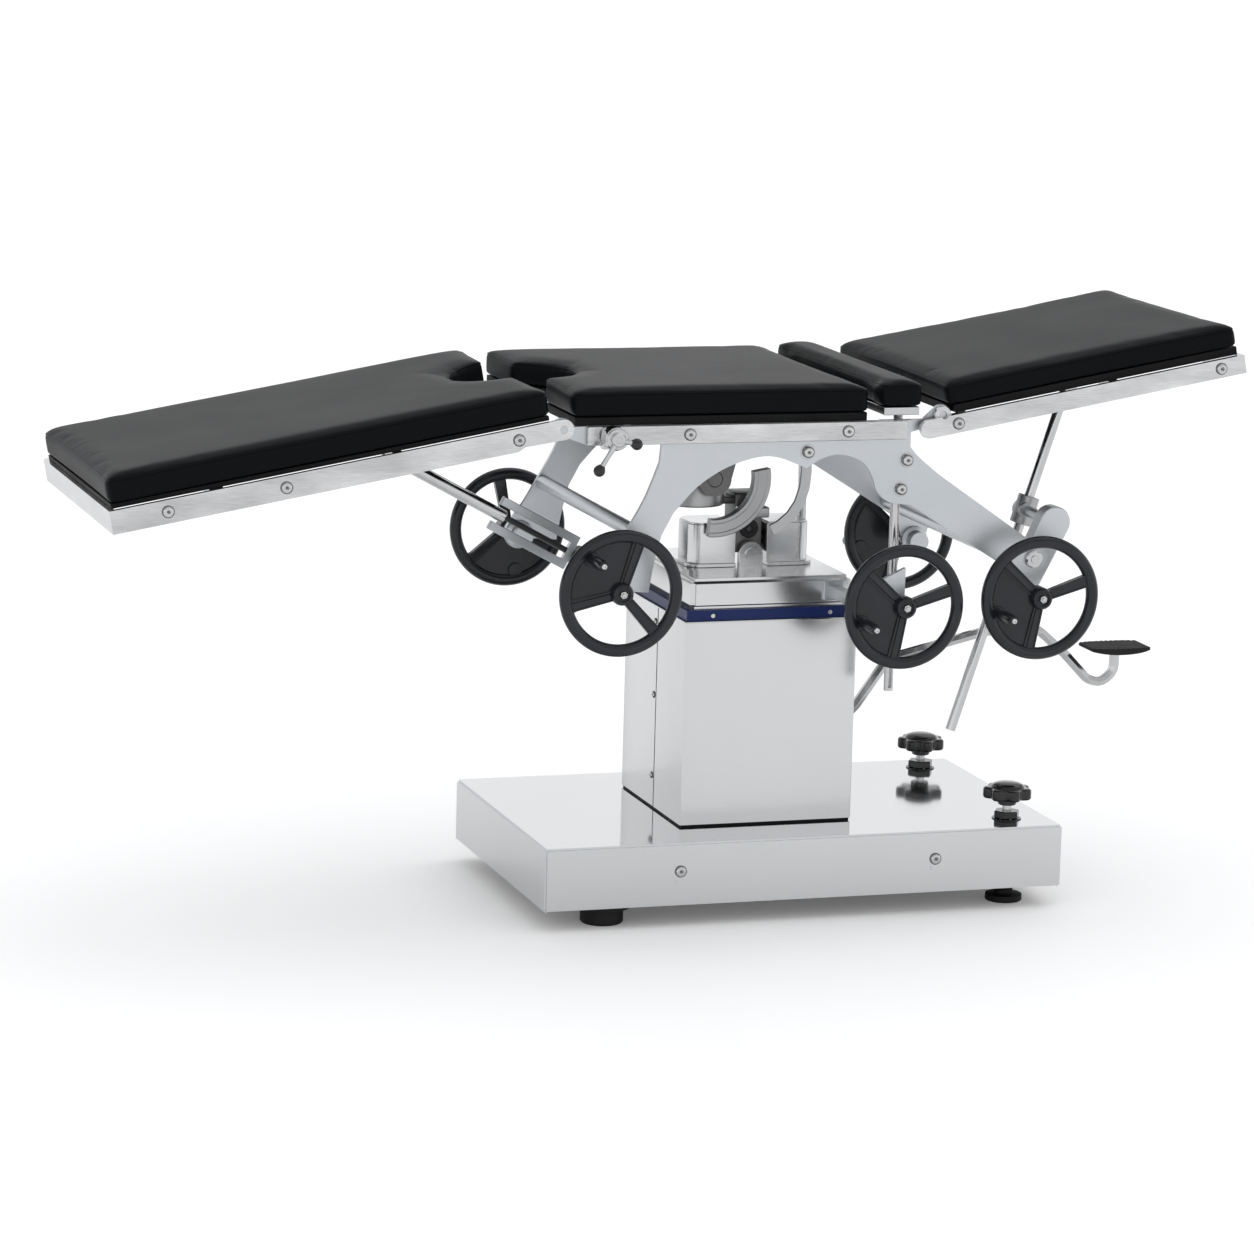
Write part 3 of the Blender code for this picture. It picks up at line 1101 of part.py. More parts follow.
def leg_rail():
    """One bar bent round the leg section, its ends turned on the hinge pins."""
    eye = LEG_RAIL_TOP
    low = -LEG_RAIL_DROP
    adds = []
    cuts = []
    for name, side in both_sides():
        outline = [(-LEG_LENGTH, LEG_RAIL_TOP), (-LEG_LENGTH, low),
                   (-LEG_RAIL_TAPER_START - OVERRUN * 3, low),
                   (-LEG_RAIL_TAPER_START, low + LEG_RAIL_TAPER), *arc((0, 0), eye, *LEG_EYE_TURN, 12)]
        adds.append(slab(outline, side, RAIL_INNER, RAIL_OUTER))
        ends = side * (RAIL_INNER - OVERRUN), side * (RAIL_OUTER + OVERRUN)
        cuts.append(turning_hole(*along_y(0, 0, *ends), HINGE_PIN_RADIUS))
        mid = (LEG_RAIL_TOP - LEG_RAIL_DROP) / 2
        adds += rail_screws([(-share * LEG_LENGTH, mid) for share in LEG_SCREW_SHARES], RAIL_OUTER, side)
    end = box((-LEG_LENGTH, -RAIL_OUTER + CHAMFER, low),
              (RAIL_THICKNESS - LEG_LENGTH, RAIL_OUTER - CHAMFER, LEG_RAIL_TOP))
    adds.insert(1, end)
    strut_x = -LEG_SPAN * cos(LEG_PROP_LUG_ANGLE)
    inner = RAIL_INNER + OVERRUN / 2
    bar = box((strut_x - LUG_EYE_RADIUS * 2, -inner, LEG_RAIL_TOP - RAIL_THICKNESS),
              (strut_x - LUG_EYE_RADIUS, inner, LEG_RAIL_TOP))
    bar_x = -LEG_LENGTH * LEG_BAR_SHARE
    far_bar = box((bar_x, -inner, LEG_RAIL_TOP - RAIL_THICKNESS),
                  (bar_x + LEG_BAR_WIDTH, inner, LEG_RAIL_TOP))
    lug = section_lug(LEG_SPAN, LEG_PROP_LUG_ANGLE, LEG_RAIL_TOP, -1)
    return finish("leg_rail", [*adds, bar, far_bar, *lug], cuts, STEEL, LEG_FRAME, LEG_AXIS)


def section_lug(span, angle, top, sign):
    """A pair of ears under a section, with the pin that the prop's eye turns on."""
    x, z = sign * span * cos(angle), -span * sin(angle)
    reach = LUG_EYE_RADIUS
    adds = []
    gap = LEG_TUBE_RADIUS + FIT * 2
    for side in (-1, 1):
        near = PROP_Y + side * gap
        far = near + side * LUG_THICKNESS
        round_end = arc((x, z), reach * LUG_TAPER_SHARE, pi, 2 * pi, 12)
        outline = [(x - reach, top), *round_end, (x + reach, top)]
        adds.append(prism(outline, min(near, far), max(near, far)))
    wide = reach * LUG_PLATE_SHARE
    plate = box((x - wide, PROP_Y - gap - LUG_THICKNESS, top - LUG_PLATE),
                (x + wide, PROP_Y + gap + LUG_THICKNESS, top))
    end = gap + LUG_THICKNESS + HINGE_PIN_HEAD
    pin = turning_pin((x, PROP_Y - end, z), (x, PROP_Y + end, z), LUG_PIN_RADIUS)
    return [plate, *adds, pin]


def back_cushion():
    base = BACK_BOARD_RISE + FIT
    mesh = cushion_mesh(BACK_CUSHION_START, BACK_LENGTH, base, BACK_CUSHION_HEIGHT)
    return finish("back_cushion", [mesh], (), LEATHER, BACK_FRAME, BACK_AXIS)


def back_board():
    edge = TOP_WIDTH / 2 - BOARD_INSET
    body = box((BACK_CUSHION_START + BOARD_MARGIN, -edge, BACK_BOARD_RISE - BOARD_THICKNESS),
               (BACK_LENGTH - BOARD_MARGIN, edge, BACK_BOARD_RISE))
    cuts = []
    for name, side in both_sides():
        ends = side * BACK_POCKET_Y, side * RAIL_OUTER
        cuts.append(box((0, min(ends), BACK_BOARD_RISE - BOARD_THICKNESS - OVERRUN),
                        (HINGE_EYE_RADIUS + BOARD_MARGIN, max(ends), BACK_BOARD_RISE + OVERRUN)))
    return finish("back_board", [body], cuts, PANEL, BACK_FRAME, BACK_AXIS)


def back_rail():
    """One bar bent round the back section, with hinge ears inside its ends."""
    top = BACK_BOARD_RISE - BOARD_THICKNESS - FIT
    low = top - BACK_RAIL_HEIGHT
    mid = (top + low) / 2
    round_end = BACK_RAIL_HEIGHT / 2
    adds = []
    cuts = []
    for name, side in both_sides():
        outline = [(BACK_LENGTH, low), (BACK_LENGTH, top),
                   *arc((round_end - BACK_RAIL_START, mid), round_end, pi / 2, 3 * pi / 2, 12)]
        adds.append(slab(outline, side, RAIL_INNER, RAIL_OUTER))
        eye = HINGE_EYE_RADIUS * BACK_EYE_SHARE
        lug = [*arc((0, 0), eye, 0, pi, 12), (-eye, low + FIT), (BACK_EAR_LENGTH, low + FIT),
               (BACK_EAR_LENGTH, top - FIT), (eye, top - FIT)]
        adds.append(slab(lug, side, PLATE_INNER + FIT * 2, RAIL_INNER + CHAMFER))
        ends = side * (PLATE_INNER - OVERRUN), side * (RAIL_OUTER + OVERRUN)
        cuts.append(turning_hole(*along_y(0, 0, *ends), HINGE_PIN_RADIUS))
        adds += rail_screws([(share * BACK_LENGTH, mid) for share in BACK_SCREW_SHARES], RAIL_OUTER, side)
    end = box((BACK_LENGTH - RAIL_THICKNESS, -RAIL_OUTER + CHAMFER, low),
              (BACK_LENGTH, RAIL_OUTER - CHAMFER, top))
    adds.insert(1, end)
    lug_x = BACK_SPAN * cos(BACK_PROP_LUG_ANGLE)
    inner = RAIL_INNER + OVERRUN / 2
    bar = box((lug_x + LUG_EYE_RADIUS, -inner, top - RAIL_THICKNESS),
              (lug_x + LUG_EYE_RADIUS * 2, inner, top))
    lug = section_lug(BACK_SPAN, BACK_PROP_LUG_ANGLE, top, 1)
    return finish("back_rail", [*adds, bar, *lug], cuts, STEEL, BACK_FRAME, BACK_AXIS)


# Kidney bridge

def bridge_cushion():
    left = BRIDGE_CENTRE_X - BRIDGE_LENGTH / 2
    base = BOARD_TOP + BRIDGE_RISE + FIT
    mesh = cushion_mesh(left, left + BRIDGE_LENGTH, base, CUSHION_HEIGHT - CUSHION_CROWN / 2)
    return finish("bridge_cushion", [mesh], (), LEATHER)


def bridge_carrier():
    """The bridge's plate with its two long slotted posts."""
    left = BRIDGE_CENTRE_X - BRIDGE_LENGTH / 2 + BOARD_MARGIN
    right = BRIDGE_CENTRE_X + BRIDGE_LENGTH / 2 - BOARD_MARGIN
    edge = TOP_WIDTH / 2 - BOARD_INSET
    top = BOARD_TOP + BRIDGE_RISE
    plate = box((left, -edge, top - BOARD_THICKNESS), (right, edge, top), CHAMFER)
    x = BRIDGE_CENTRE_X + POST_FORWARD
    adds = [plate]
    cuts = []
    for name, side in both_sides():
        y = side * POST_SPREAD
        adds.append(turning_pin((x, y, POST_BOTTOM), (x, y, top - BOARD_THICKNESS / 2), POST_RADIUS))
        low = POST_BOTTOM + POST_SLOT_WIDTH
        cuts.append(box((x - POST_SLOT_WIDTH / 2, y - POST_RADIUS * 2, low),
                        (x + POST_SLOT_WIDTH / 2, y + POST_RADIUS * 2, low + POST_SLOT_LENGTH)))
    return finish("bridge_carrier", adds, cuts, SATIN, origin=(x, 0, top))


def bridge_guide(name, side):
    """The guide on the side plate that a bridge post slides in."""
    x, y = BRIDGE_CENTRE_X + POST_FORWARD, side * POST_SPREAD
    top = BOARD_TOP - POST_GUIDE_DROP
    sleeve = rod((x, y, top - POST_GUIDE_LENGTH), (x, y, top), POST_GUIDE_RADIUS, edge=CHAMFER)
    near, far = side * (POST_SPREAD + POST_RADIUS), side * (PLATE_INNER - FIT)
    block = box((x - POST_GUIDE_RADIUS, min(near, far), top - POST_GUIDE_LENGTH + OVERRUN),
                (x + POST_GUIDE_RADIUS, max(near, far), top - OVERRUN))
    bore = turning_hole((x, y, top - POST_GUIDE_LENGTH - OVERRUN), (x, y, top + OVERRUN), POST_RADIUS)
    return finish("bridge_guide_" + name, [sleeve, block], [bore], SATIN)


# Props

def aim(start, end):
    """A frame at start whose X points to end, with Y kept."""
    angle = atan2(end[2] - start[2], end[0] - start[0])
    return Matrix.Translation(start) @ Matrix.Rotation(-angle, 4, "Y")


def gear_case(name, wheel, foot):
    """The flat case on the side plate that takes a handwheel's turn to the prop's trunnion."""
    face = -PLATE_INNER + FIT
    back = face + GEAR_CASE_THICKNESS
    angle = atan2(foot[1] - wheel[1], foot[0] - wheel[0])
    r = GEAR_CASE_RADIUS
    outline = [*arc(foot, r, angle - pi / 2, angle + pi / 2, 14),
               *arc(wheel, r * GEAR_CASE_END_SHARE, angle + pi / 2, angle + 3 * pi / 2, 14)]
    body = prism(outline, face, back, CHAMFER * 2)
    tip = PROP_Y - TRUNNION_LENGTH / 2 + TRUNNION_PIN_DEPTH
    pin = turning_pin(*along_y(*foot, back - OVERRUN, tip), TRUNNION_PIN_RADIUS)
    shaft = turning_hole(*along_y(*wheel, -RAIL_OUTER, back - PLATE_THICKNESS), SHAFT_RADIUS)
    return finish("gear_case_" + name, [body, pin], [shaft], SATIN)


def bearing(x, z):
    """The flanged bearing of a far handwheel's shaft, in one with the side plate."""
    face = PLATE_INNER + CHAMFER
    profile = [(GEAR_CASE_RADIUS * a, GEAR_CASE_THICKNESS * b) for a, b in BEARING_SHARES]
    return lathe(profile, (x, face, z), (0, -1, 0))


def bearing_bore(x, z):
    ends = PLATE_OUTER + OVERRUN, PLATE_INNER - GEAR_CASE_THICKNESS + PLATE_THICKNESS
    return turning_hole(*along_y(x, z, *ends), SHAFT_RADIUS)


def leg_tube():
    frame = aim(LEG_LUG, LEG_FOOT)
    eye = LEG_TUBE_RADIUS
    body = rod((0, 0, 0), (LEG_TUBE_LENGTH, 0, 0), LEG_TUBE_RADIUS, edge=CHAMFER)
    head = rod((0, -eye, 0), (0, eye, 0), LEG_TUBE_RADIUS + CHAMFER * 2)
    bore = rod((LEG_TUBE_RADIUS * 2, 0, 0), (LEG_TUBE_LENGTH + OVERRUN, 0, 0),
               LEG_SCREW_RADIUS + PROP_BORE_GAP, SIDES_SMALL)
    hole = turning_hole((0, -eye * 2, 0), (0, eye * 2, 0), LUG_PIN_RADIUS)
    return finish("leg_prop_tube", [body, head], [bore, hole], POLISHED, frame, LEG_LUG)


def trunnion_hole():
    """The blind hole in a prop's foot that turns on the gear case's pin."""
    half = TRUNNION_LENGTH / 2
    ends = -half - OVERRUN, FIT - half + TRUNNION_PIN_DEPTH
    return turning_hole(*along_y(0, 0, *ends), TRUNNION_PIN_RADIUS)


def leg_screw():
    frame = aim(LEG_FOOT, LEG_LUG)
    screw = rod((0, 0, 0), (LEG_SCREW_LENGTH, 0, 0), LEG_SCREW_RADIUS, SIDES_SMALL, edge=CHAMFER)
    half = TRUNNION_LENGTH / 2
    block = rod((0, -half, 0), (0, half, 0), TRUNNION_RADIUS, edge=CHAMFER)
    hole = trunnion_hole()
    return finish("leg_prop_screw", [block, screw], [hole], BLACK_STEEL, frame, LEG_FOOT)


def prop_yoke():
    """The two guide bars either side of the leg prop, joined at their foot."""
    frame = aim(LEG_FOOT, LEG_LUG)
    gap = LEG_TUBE_RADIUS + YOKE_BAR_CLEARANCE
    start, end = TRUNNION_RADIUS + FIT, TRUNNION_RADIUS + YOKE_BAR_LENGTH + YOKE_BAR_START
    adds = []
    width = YOKE_BAR_WIDTH / 2
    for side in (-1, 1):
        near, far = side * gap, side * (gap + YOKE_BAR_HEIGHT)
        adds.append(box((start, -width, min(near, far)), (end, width, max(near, far)), CHAMFER))
    foot = box((start, -width, -gap - CHAMFER * 2), (start + YOKE_BAR_WIDTH, width, gap + CHAMFER * 2))
    hole = rod((0, 0, 0), (end, 0, 0), LEG_SCREW_RADIUS + FIT)
    pin = rod((end - YOKE_BAR_LENGTH / 2, -width - BOLT_HEIGHT / 2, -gap - YOKE_BAR_HEIGHT / 2),
              (end - YOKE_BAR_LENGTH / 2, 0, -gap - YOKE_BAR_HEIGHT / 2), BOLT_RADIUS / 2, SIDES_SMALL)
    return finish("leg_prop_yoke", [adds[0], foot, adds[1], pin], [hole], SATIN, frame, LEG_FOOT)


def back_rod():
    frame = aim(BACK_LUG, BACK_FOOT)
    eye = LEG_TUBE_RADIUS
    body = turning_pin((0, 0, 0), (BACK_ROD_LENGTH, 0, 0), BACK_ROD_RADIUS)
    head = rod((0, -eye, 0), (0, eye, 0), BACK_ROD_RADIUS + CHAMFER * 3)
    hole = turning_hole((0, -eye * 2, 0), (0, eye * 2, 0), LUG_PIN_RADIUS)
    return finish("back_prop_rod", [body, head], [hole], POLISHED, frame, BACK_LUG)


def back_nut():
    frame = aim(BACK_FOOT, BACK_LUG)
    half = BACK_NUT_LENGTH / 2
    body = rod((-half, 0, 0), (half, 0, 0), BACK_NUT_RADIUS, edge=CHAMFER)
    reach = TRUNNION_LENGTH / 2
    trunnion = rod(*along_y(0, 0, -reach, reach), BACK_NUT_RADIUS - CHAMFER * 2, edge=CHAMFER)
    bore = turning_hole((-half - OVERRUN, 0, 0), (half + OVERRUN, 0, 0), BACK_ROD_RADIUS)
    return finish("back_prop_nut", [body, trunnion], [bore, trunnion_hole()], BLACK_STEEL, frame, BACK_FOOT)


# Handwheels

def wheel_mesh(turn):
    """Rim, three spokes, hub and the recessed web between two spokes, about the Y axis."""
    bm = bmesh.new()
    rings = []
    for k in range(SIDES_RIM):
        t = 2 * pi * k / SIDES_RIM
        ring = []
        for j in range(SIDES_RIM_SECTION):
            s = 2 * pi * j / SIDES_RIM_SECTION
            r = WHEEL_RADIUS - WHEEL_RIM_RADIUS + WHEEL_RIM_RADIUS * cos(s)
            ring.append(bm.verts.new((r * cos(t), WHEEL_RIM_RADIUS * sin(s), r * sin(t))))
        rings.append(ring)
    for k in range(SIDES_RIM):
        a, b = rings[k], rings[(k + 1) % SIDES_RIM]
        for j in range(len(a)):
            n = (j + 1) % len(a)
            bm.faces.new((a[j], a[n], b[n], b[j]))
    adds = [piece(bm)]
    half = WHEEL_HUB_LENGTH / 2
    hub = rod((0, -half, 0), (0, half, 0), WHEEL_HUB_RADIUS, SIDES_MEDIUM, edge=CHAMFER)
    reach = WHEEL_RADIUS - WHEEL_RIM_RADIUS
    thick = WHEEL_SPOKE_THICKNESS / 2
    for k in range(3):
        angle = turn + pi / 3 + 2 * pi * k / 3
        spoke = box((0, -thick, -WHEEL_SPOKE_WIDTH / 2), (reach, thick, WHEEL_SPOKE_WIDTH / 2), CHAMFER)
        spoke.transform(Matrix.Rotation(-angle, 4, "Y"))
        adds.append(spoke)
    adds.append(hub)
    sector = [(0, 0), *arc((0, 0), reach, turn - pi / 3, turn + pi / 3, 10)]
    adds.append(prism(sector, -WHEEL_WEB_THICKNESS / 2, WHEEL_WEB_THICKNESS / 2))
    boss = (PEG_DISTANCE * cos(turn), PEG_DISTANCE * sin(turn))
    adds.append(rod(*along_y(*boss, -thick, thick), PEG_RADIUS + CHAMFER * 2))
    return adds


def handwheel(name, x, z, side, turn, inner_y):
    """A wheel on its shaft, with the shaft's collar and end nut."""
    adds = wheel_mesh(turn)
    half = WHEEL_HUB_LENGTH / 2
    peg = (PEG_DISTANCE * cos(turn), PEG_DISTANCE * sin(turn))
    cuts = [turning_hole(*along_y(*peg, -half, half), PEG_PIN_RADIUS)]
    shaft_end = side * (inner_y - WHEEL_PLANE_Y)
    adds.append(turning_pin((0, shaft_end, 0), (0, 0, 0), SHAFT_RADIUS))
    face = -side * (half - CHAMFER)
    adds.append(rod((0, face, 0), (0, face - side * SHAFT_COLLAR_LENGTH, 0), SHAFT_COLLAR_RADIUS))
    face = side * (half - CHAMFER)
    adds.append(rod((0, face, 0), (0, face + side * SHAFT_NUT_HEIGHT, 0), SHAFT_NUT_RADIUS + CHAMFER * 3, 6))
    place = (x, side * WHEEL_PLANE_Y, z)
    return finish("handwheel_" + name, adds, cuts, PLASTIC, Matrix.Translation(place), place)


def wheel_peg(name, x, z, side, turn):
    px, pz = x + PEG_DISTANCE * cos(turn), z + PEG_DISTANCE * sin(turn)
    base = side * (WHEEL_PLANE_Y + WHEEL_SPOKE_THICKNESS / 2 + FIT)
    profile = [(PEG_RADIUS * a, PEG_LENGTH * b) for a, b in PEG_SHARES]
    profile += [(PEG_BUTTON_RADIUS, PEG_LENGTH + h) for h in (CHAMFER, PEG_BUTTON_HEIGHT)]
    body = lathe(profile, (px, base, pz), (0, side, 0), SIDES_PEG)
    ends = base + side * OVERRUN, side * (WHEEL_PLANE_Y - WHEEL_SPOKE_THICKNESS / 2)
    tail = turning_pin(*along_y(px, pz, *ends), PEG_PIN_RADIUS)
    return finish("wheel_peg_" + name, [body, tail], (), PLASTIC, origin=(px, side * WHEEL_PLANE_Y, pz))


# Pedal

def pedal_route():
    return [(PEDAL_PIVOT_X + a * PEDAL_REACH, 0, PEDAL_PIVOT_Z + b * PEDAL_RISE)
            for a, b in PEDAL_ROUTE_SHARES]


def pedal_lever():
    route = bent(pedal_route(), PEDAL_TUBE_RADIUS * 3, 3)
    tube = tube_along(route, PEDAL_TUBE_RADIUS)
    half = PEDAL_HUB_LENGTH / 2
    pivot = (PEDAL_PIVOT_X, PEDAL_PIVOT_Z)
    hub = rod(*along_y(*pivot, -half, half), PEDAL_HUB_RADIUS, edge=CHAMFER)
    bore = turning_hole(*along_y(*pivot, -half - OVERRUN, half + OVERRUN), PEDAL_PIVOT_RADIUS)
    return finish("pedal_lever", [tube, hub], [bore], POLISHED, origin=(PEDAL_PIVOT_X, 0, PEDAL_PIVOT_Z))


def pedal_pad():
    end_x, end_y, end_z = pedal_route()[-1]
    low = end_z + FIT
    half_x, half_y = PEDAL_PAD_LENGTH / 2, PEDAL_PAD_WIDTH / 2
    body = box((end_x - half_x, -half_y, low), (end_x + half_x, half_y, low + PEDAL_PAD_THICKNESS),
               PEDAL_PAD_THICKNESS / 3, 3)
    return finish("pedal_pad", [body], (), RUBBER, origin=(end_x, 0, low))


def pedal_bracket():
    """The fork on the column's right face that carries the pedal's pin."""
    face = COLUMN_CENTRE_X + COLUMN_LENGTH / 2 + FIT
    gap = PEDAL_HUB_LENGTH / 2 + FIT * 2
    outer = gap + PEDAL_BRACKET_THICKNESS
    eye = PEDAL_HUB_RADIUS
    reach = eye + PEDAL_BRACKET_THICKNESS
    adds = [box((face, -outer, PEDAL_PIVOT_Z - reach),
                (face + PEDAL_BRACKET_THICKNESS / 2, outer, PEDAL_PIVOT_Z + reach))]
    round_end = arc((PEDAL_PIVOT_X, PEDAL_PIVOT_Z), eye - CHAMFER * 3, -pi / 2, pi / 2, 12)
    outline = [(face, PEDAL_PIVOT_Z - eye), *round_end, (face, PEDAL_PIVOT_Z + eye)]
    for side in (-1, 1):
        adds.append(slab(outline, side, gap, outer))
    end = outer + HINGE_PIN_HEAD
    adds.append(turning_pin(*along_y(PEDAL_PIVOT_X, PEDAL_PIVOT_Z, -end, end), PEDAL_PIVOT_RADIUS))
    return finish("pedal_bracket", adds, (), SATIN)


# Rail clamp

def clamp_body():
    """The accessory clamp on the near seat rail."""
    low, high = SEAT_RAIL_BOTTOM - FIT, SEAT_RAIL_TOP + FIT
    x0, x1 = CLAMP_X - CLAMP_WIDTH / 2, CLAMP_X + CLAMP_WIDTH / 2
    face = -RAIL_OUTER - FIT
    mid = (low + high) / 2
    body = box((x0, face - CLAMP_DEPTH / 4, low - OVERRUN), (x1, face, high), CHAMFER)
    lip = box((x0, face - CHAMFER * 2, low - OVERRUN), (x1, face + CLAMP_LIP, low))
    front = face - CLAMP_DEPTH
    hub = rod(*along_y(CLAMP_X, mid, face - CLAMP_DEPTH / 8, front), CLAMP_RADIUS, edge=CHAMFER * 2)
    bore = turning_hole(*along_y(CLAMP_X, mid, face + OVERRUN, front - OVERRUN), CLAMP_SCREW_RADIUS)
    return finish("clamp_body", [body, lip, hub], [bore], SATIN)


def clamp_lever():
    """A screw through the clamp, and a bar across its head with a ball at each end."""
    mid = SEAT_RAIL_BOTTOM + SEAT_RAIL_HEIGHT / 2
    face = -RAIL_OUTER - FIT
    front = face - CLAMP_DEPTH - FIT
    tip = front - CLAMP_HEAD_LENGTH
    screw = turning_pin(*along_y(CLAMP_X, mid, face - FIT * 2, tip), CLAMP_SCREW_RADIUS)
    head = rod(*along_y(CLAMP_X, mid, front, tip), CLAMP_HEAD_RADIUS, edge=CHAMFER)
    y = (front + tip) / 2
    adds = [head, screw]
    ends = []
    for angle, share in ((CLAMP_LEVER_TURN, 1), (CLAMP_LEVER_TURN + pi, CLAMP_SHORT_SHARE)):
        length = CLAMP_LEVER_LENGTH * share
        ball = CLAMP_BALL_RADIUS * (1 + share) / 2
        end = (CLAMP_X + length * cos(angle), y, mid + length * sin(angle))
        profile = [(ball * sin(t), -ball * cos(t)) for t in (0, pi / 4, pi / 2, 3 * pi / 4)]
        adds.append(lathe([*profile, (0, ball)], end, (cos(angle), 0, sin(angle)), SIDES_SMALL))
        ends.append(end)
    adds.insert(1, rod(*ends, CLAMP_LEVER_RADIUS, SIDES_SMALL))
    return finish("clamp_lever", adds, (), BLACK_STEEL, origin=(CLAMP_X, face, mid))


def build():
    clear_scene()
    base_cover()
    base_chassis()
    lift_sleeve()
    lid()
    for name, side in (("left", -1), ("right", 1)):
        tower(name, side)
    cradle()
    crescent()
    yoke()
    mid_wheel_arm()
    cross_tube("left", CROSS_LEFT_X, CROSS_LEFT_Z)
    cross_tube("right", CROSS_RIGHT_X, CROSS_RIGHT_Z)
    for name, side in both_sides():
        fixed_foot(name, side)
        level_foot(name, side)
        level_knob(name, side)
        column_cover(name, side)
        side_plate(name, side)
        seat_rail(name, side)
        back_bracket(name, side)
        bridge_guide(name, side)
    seat_cushion()
    seat_board()
    leg_cushion()
    leg_board()
    leg_rail()
    back_cushion()
    back_board()
    back_rail()
    bridge_cushion()
    bridge_carrier()
    leg_prop()
    back_prop()
    handwheels()
    pedal_lever()
    pedal_pad()
    pedal_bracket()
    clamp_body()
    clamp_lever()
    centre_on_floor()


def centre_on_floor():
    """Puts the origin under the middle of the whole length."""
    made = list(bpy.data.objects)
    reach = [(thing.location + v.co).x for thing in made for v in thing.data.vertices]
    middle = (min(reach) + max(reach)) / 2
    for thing in made:
        thing.location.x -= middle


def leg_prop():
    leg_tube()
    leg_screw()
    prop_yoke()
    gear_case("leg", (WHEEL_LEFT_X, WHEEL_LEFT_Z), (LEG_PROP_FOOT_X, LEG_PROP_FOOT_Z))


def back_prop():
    back_rod()
    back_nut()
    gear_case("back", (WHEEL_RIGHT_X, WHEEL_RIGHT_Z), (BACK_PROP_FOOT_X, BACK_PROP_FOOT_Z))


def handwheels():
    case = PLATE_INNER - GEAR_CASE_THICKNESS + PLATE_THICKNESS + FIT * 2
    arm = -MID_ARM_OUTER_Y - MID_BEARING_LENGTH
    for name, x, z, side, turn, inner in (
            ("leg", WHEEL_LEFT_X, WHEEL_LEFT_Z, -1, PEG_TURN_LEFT_NEAR, case),
            ("tilt", WHEEL_LEFT_X, WHEEL_LEFT_Z, 1, PEG_TURN_LEFT_FAR, case),
            ("side", WHEEL_MID_X, WHEEL_MID_Z, -1, PEG_TURN_MID, arm),
            ("back", WHEEL_RIGHT_X, WHEEL_RIGHT_Z, -1, PEG_TURN_RIGHT, case),
            ("bridge", WHEEL_RIGHT_X, WHEEL_RIGHT_Z, 1, PEG_TURN_RIGHT, case)):
        handwheel(name, x, z, side, turn, inner)
        wheel_peg(name, x, z, side, turn)


build()
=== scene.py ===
# Looks of the hydraulic operating table: materials, stuffed cushions, moulded handwheels and the small
# fittings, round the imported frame. Metres, +Z up, near side towards -Y.
import json
from math import atan2, cos, pi, radians, sin

import bmesh
import bpy
from mathutils import Matrix, Vector
from mathutils.bvhtree import BVHTree


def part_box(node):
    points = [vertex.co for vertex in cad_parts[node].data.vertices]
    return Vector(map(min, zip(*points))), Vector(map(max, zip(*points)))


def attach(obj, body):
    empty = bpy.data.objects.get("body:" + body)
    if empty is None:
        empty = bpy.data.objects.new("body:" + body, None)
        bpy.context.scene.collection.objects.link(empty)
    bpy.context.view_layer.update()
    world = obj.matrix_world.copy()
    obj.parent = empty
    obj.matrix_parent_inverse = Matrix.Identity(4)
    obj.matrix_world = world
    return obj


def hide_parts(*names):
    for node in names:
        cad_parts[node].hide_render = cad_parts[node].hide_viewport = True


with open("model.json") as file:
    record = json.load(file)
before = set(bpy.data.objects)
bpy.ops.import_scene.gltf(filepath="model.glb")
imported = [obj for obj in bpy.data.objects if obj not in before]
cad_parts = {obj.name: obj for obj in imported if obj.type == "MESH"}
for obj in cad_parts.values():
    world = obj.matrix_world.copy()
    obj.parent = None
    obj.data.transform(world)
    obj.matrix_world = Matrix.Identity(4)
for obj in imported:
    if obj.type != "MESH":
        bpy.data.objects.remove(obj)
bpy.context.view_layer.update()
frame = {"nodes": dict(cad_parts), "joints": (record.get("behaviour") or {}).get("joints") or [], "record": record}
nodes = frame["nodes"]
joints = {joint["name"]: joint for joint in frame["joints"]}
body_of = {node: body for body, names in frame["record"]["behaviour"]["bodies"].items() for node in names}
BASE_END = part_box("base_cover")[0].x
UP = Vector((0, 0, 1))

# Camera, as in the photograph, from the base's left end
SENSOR = 36.0
FOCAL_SHARE = 3.748
CAMERA_PLACE = Vector((-1.9484, -6.5898, 1.7142))
CAMERA_RIGHT = Vector((0.95225, -0.30417, 0.02636))
CAMERA_UP = Vector((0.03188, 0.18491, 0.98224))
CAMERA_BACK = Vector((-0.30364, -0.93450, 0.18578))

# Light
ROOM_LIGHT = 1.00
ROOM_HORIZON = 1.22
ROOM_TOP = 0.72
ROOM_BRIGHT_BELOW = 0.05
ROOM_DIM_ABOVE = 0.55
SUN_ANGLE = radians(50)
SUN_STRENGTH = 0.28
SUN_DIRECTION = Vector((-0.40, -0.28, -0.87))
FLOOR_SIZE = 150
FLOOR_GLOW = 0.10

# Cushions
CUSHION_VOXEL = 0.006
CUSHION_START_INSET = 0.0006
CUSHION_TOP_ROUND = 0.0045
CUSHION_BOTTOM_ROUND = 0.004
CUSHION_PRESSURE = 4.0
CUSHION_FRAMES = 20
CUSHION_QUALITY = 3
CUSHION_CUT_SHARE = 0.42
CUSHION_CROWN = 0.004
CUSHION_SMOOTHINGS = 2
CUSHION_SMOOTH_FACTOR = 0.3
CUSHION_SWELL = 0.0045
CUSHION_SIDE_SWELL = 0.0030
WELT_RADIUS = 0.0011
WELT_INSET = 0.0017
WELT_STEP = 0.004

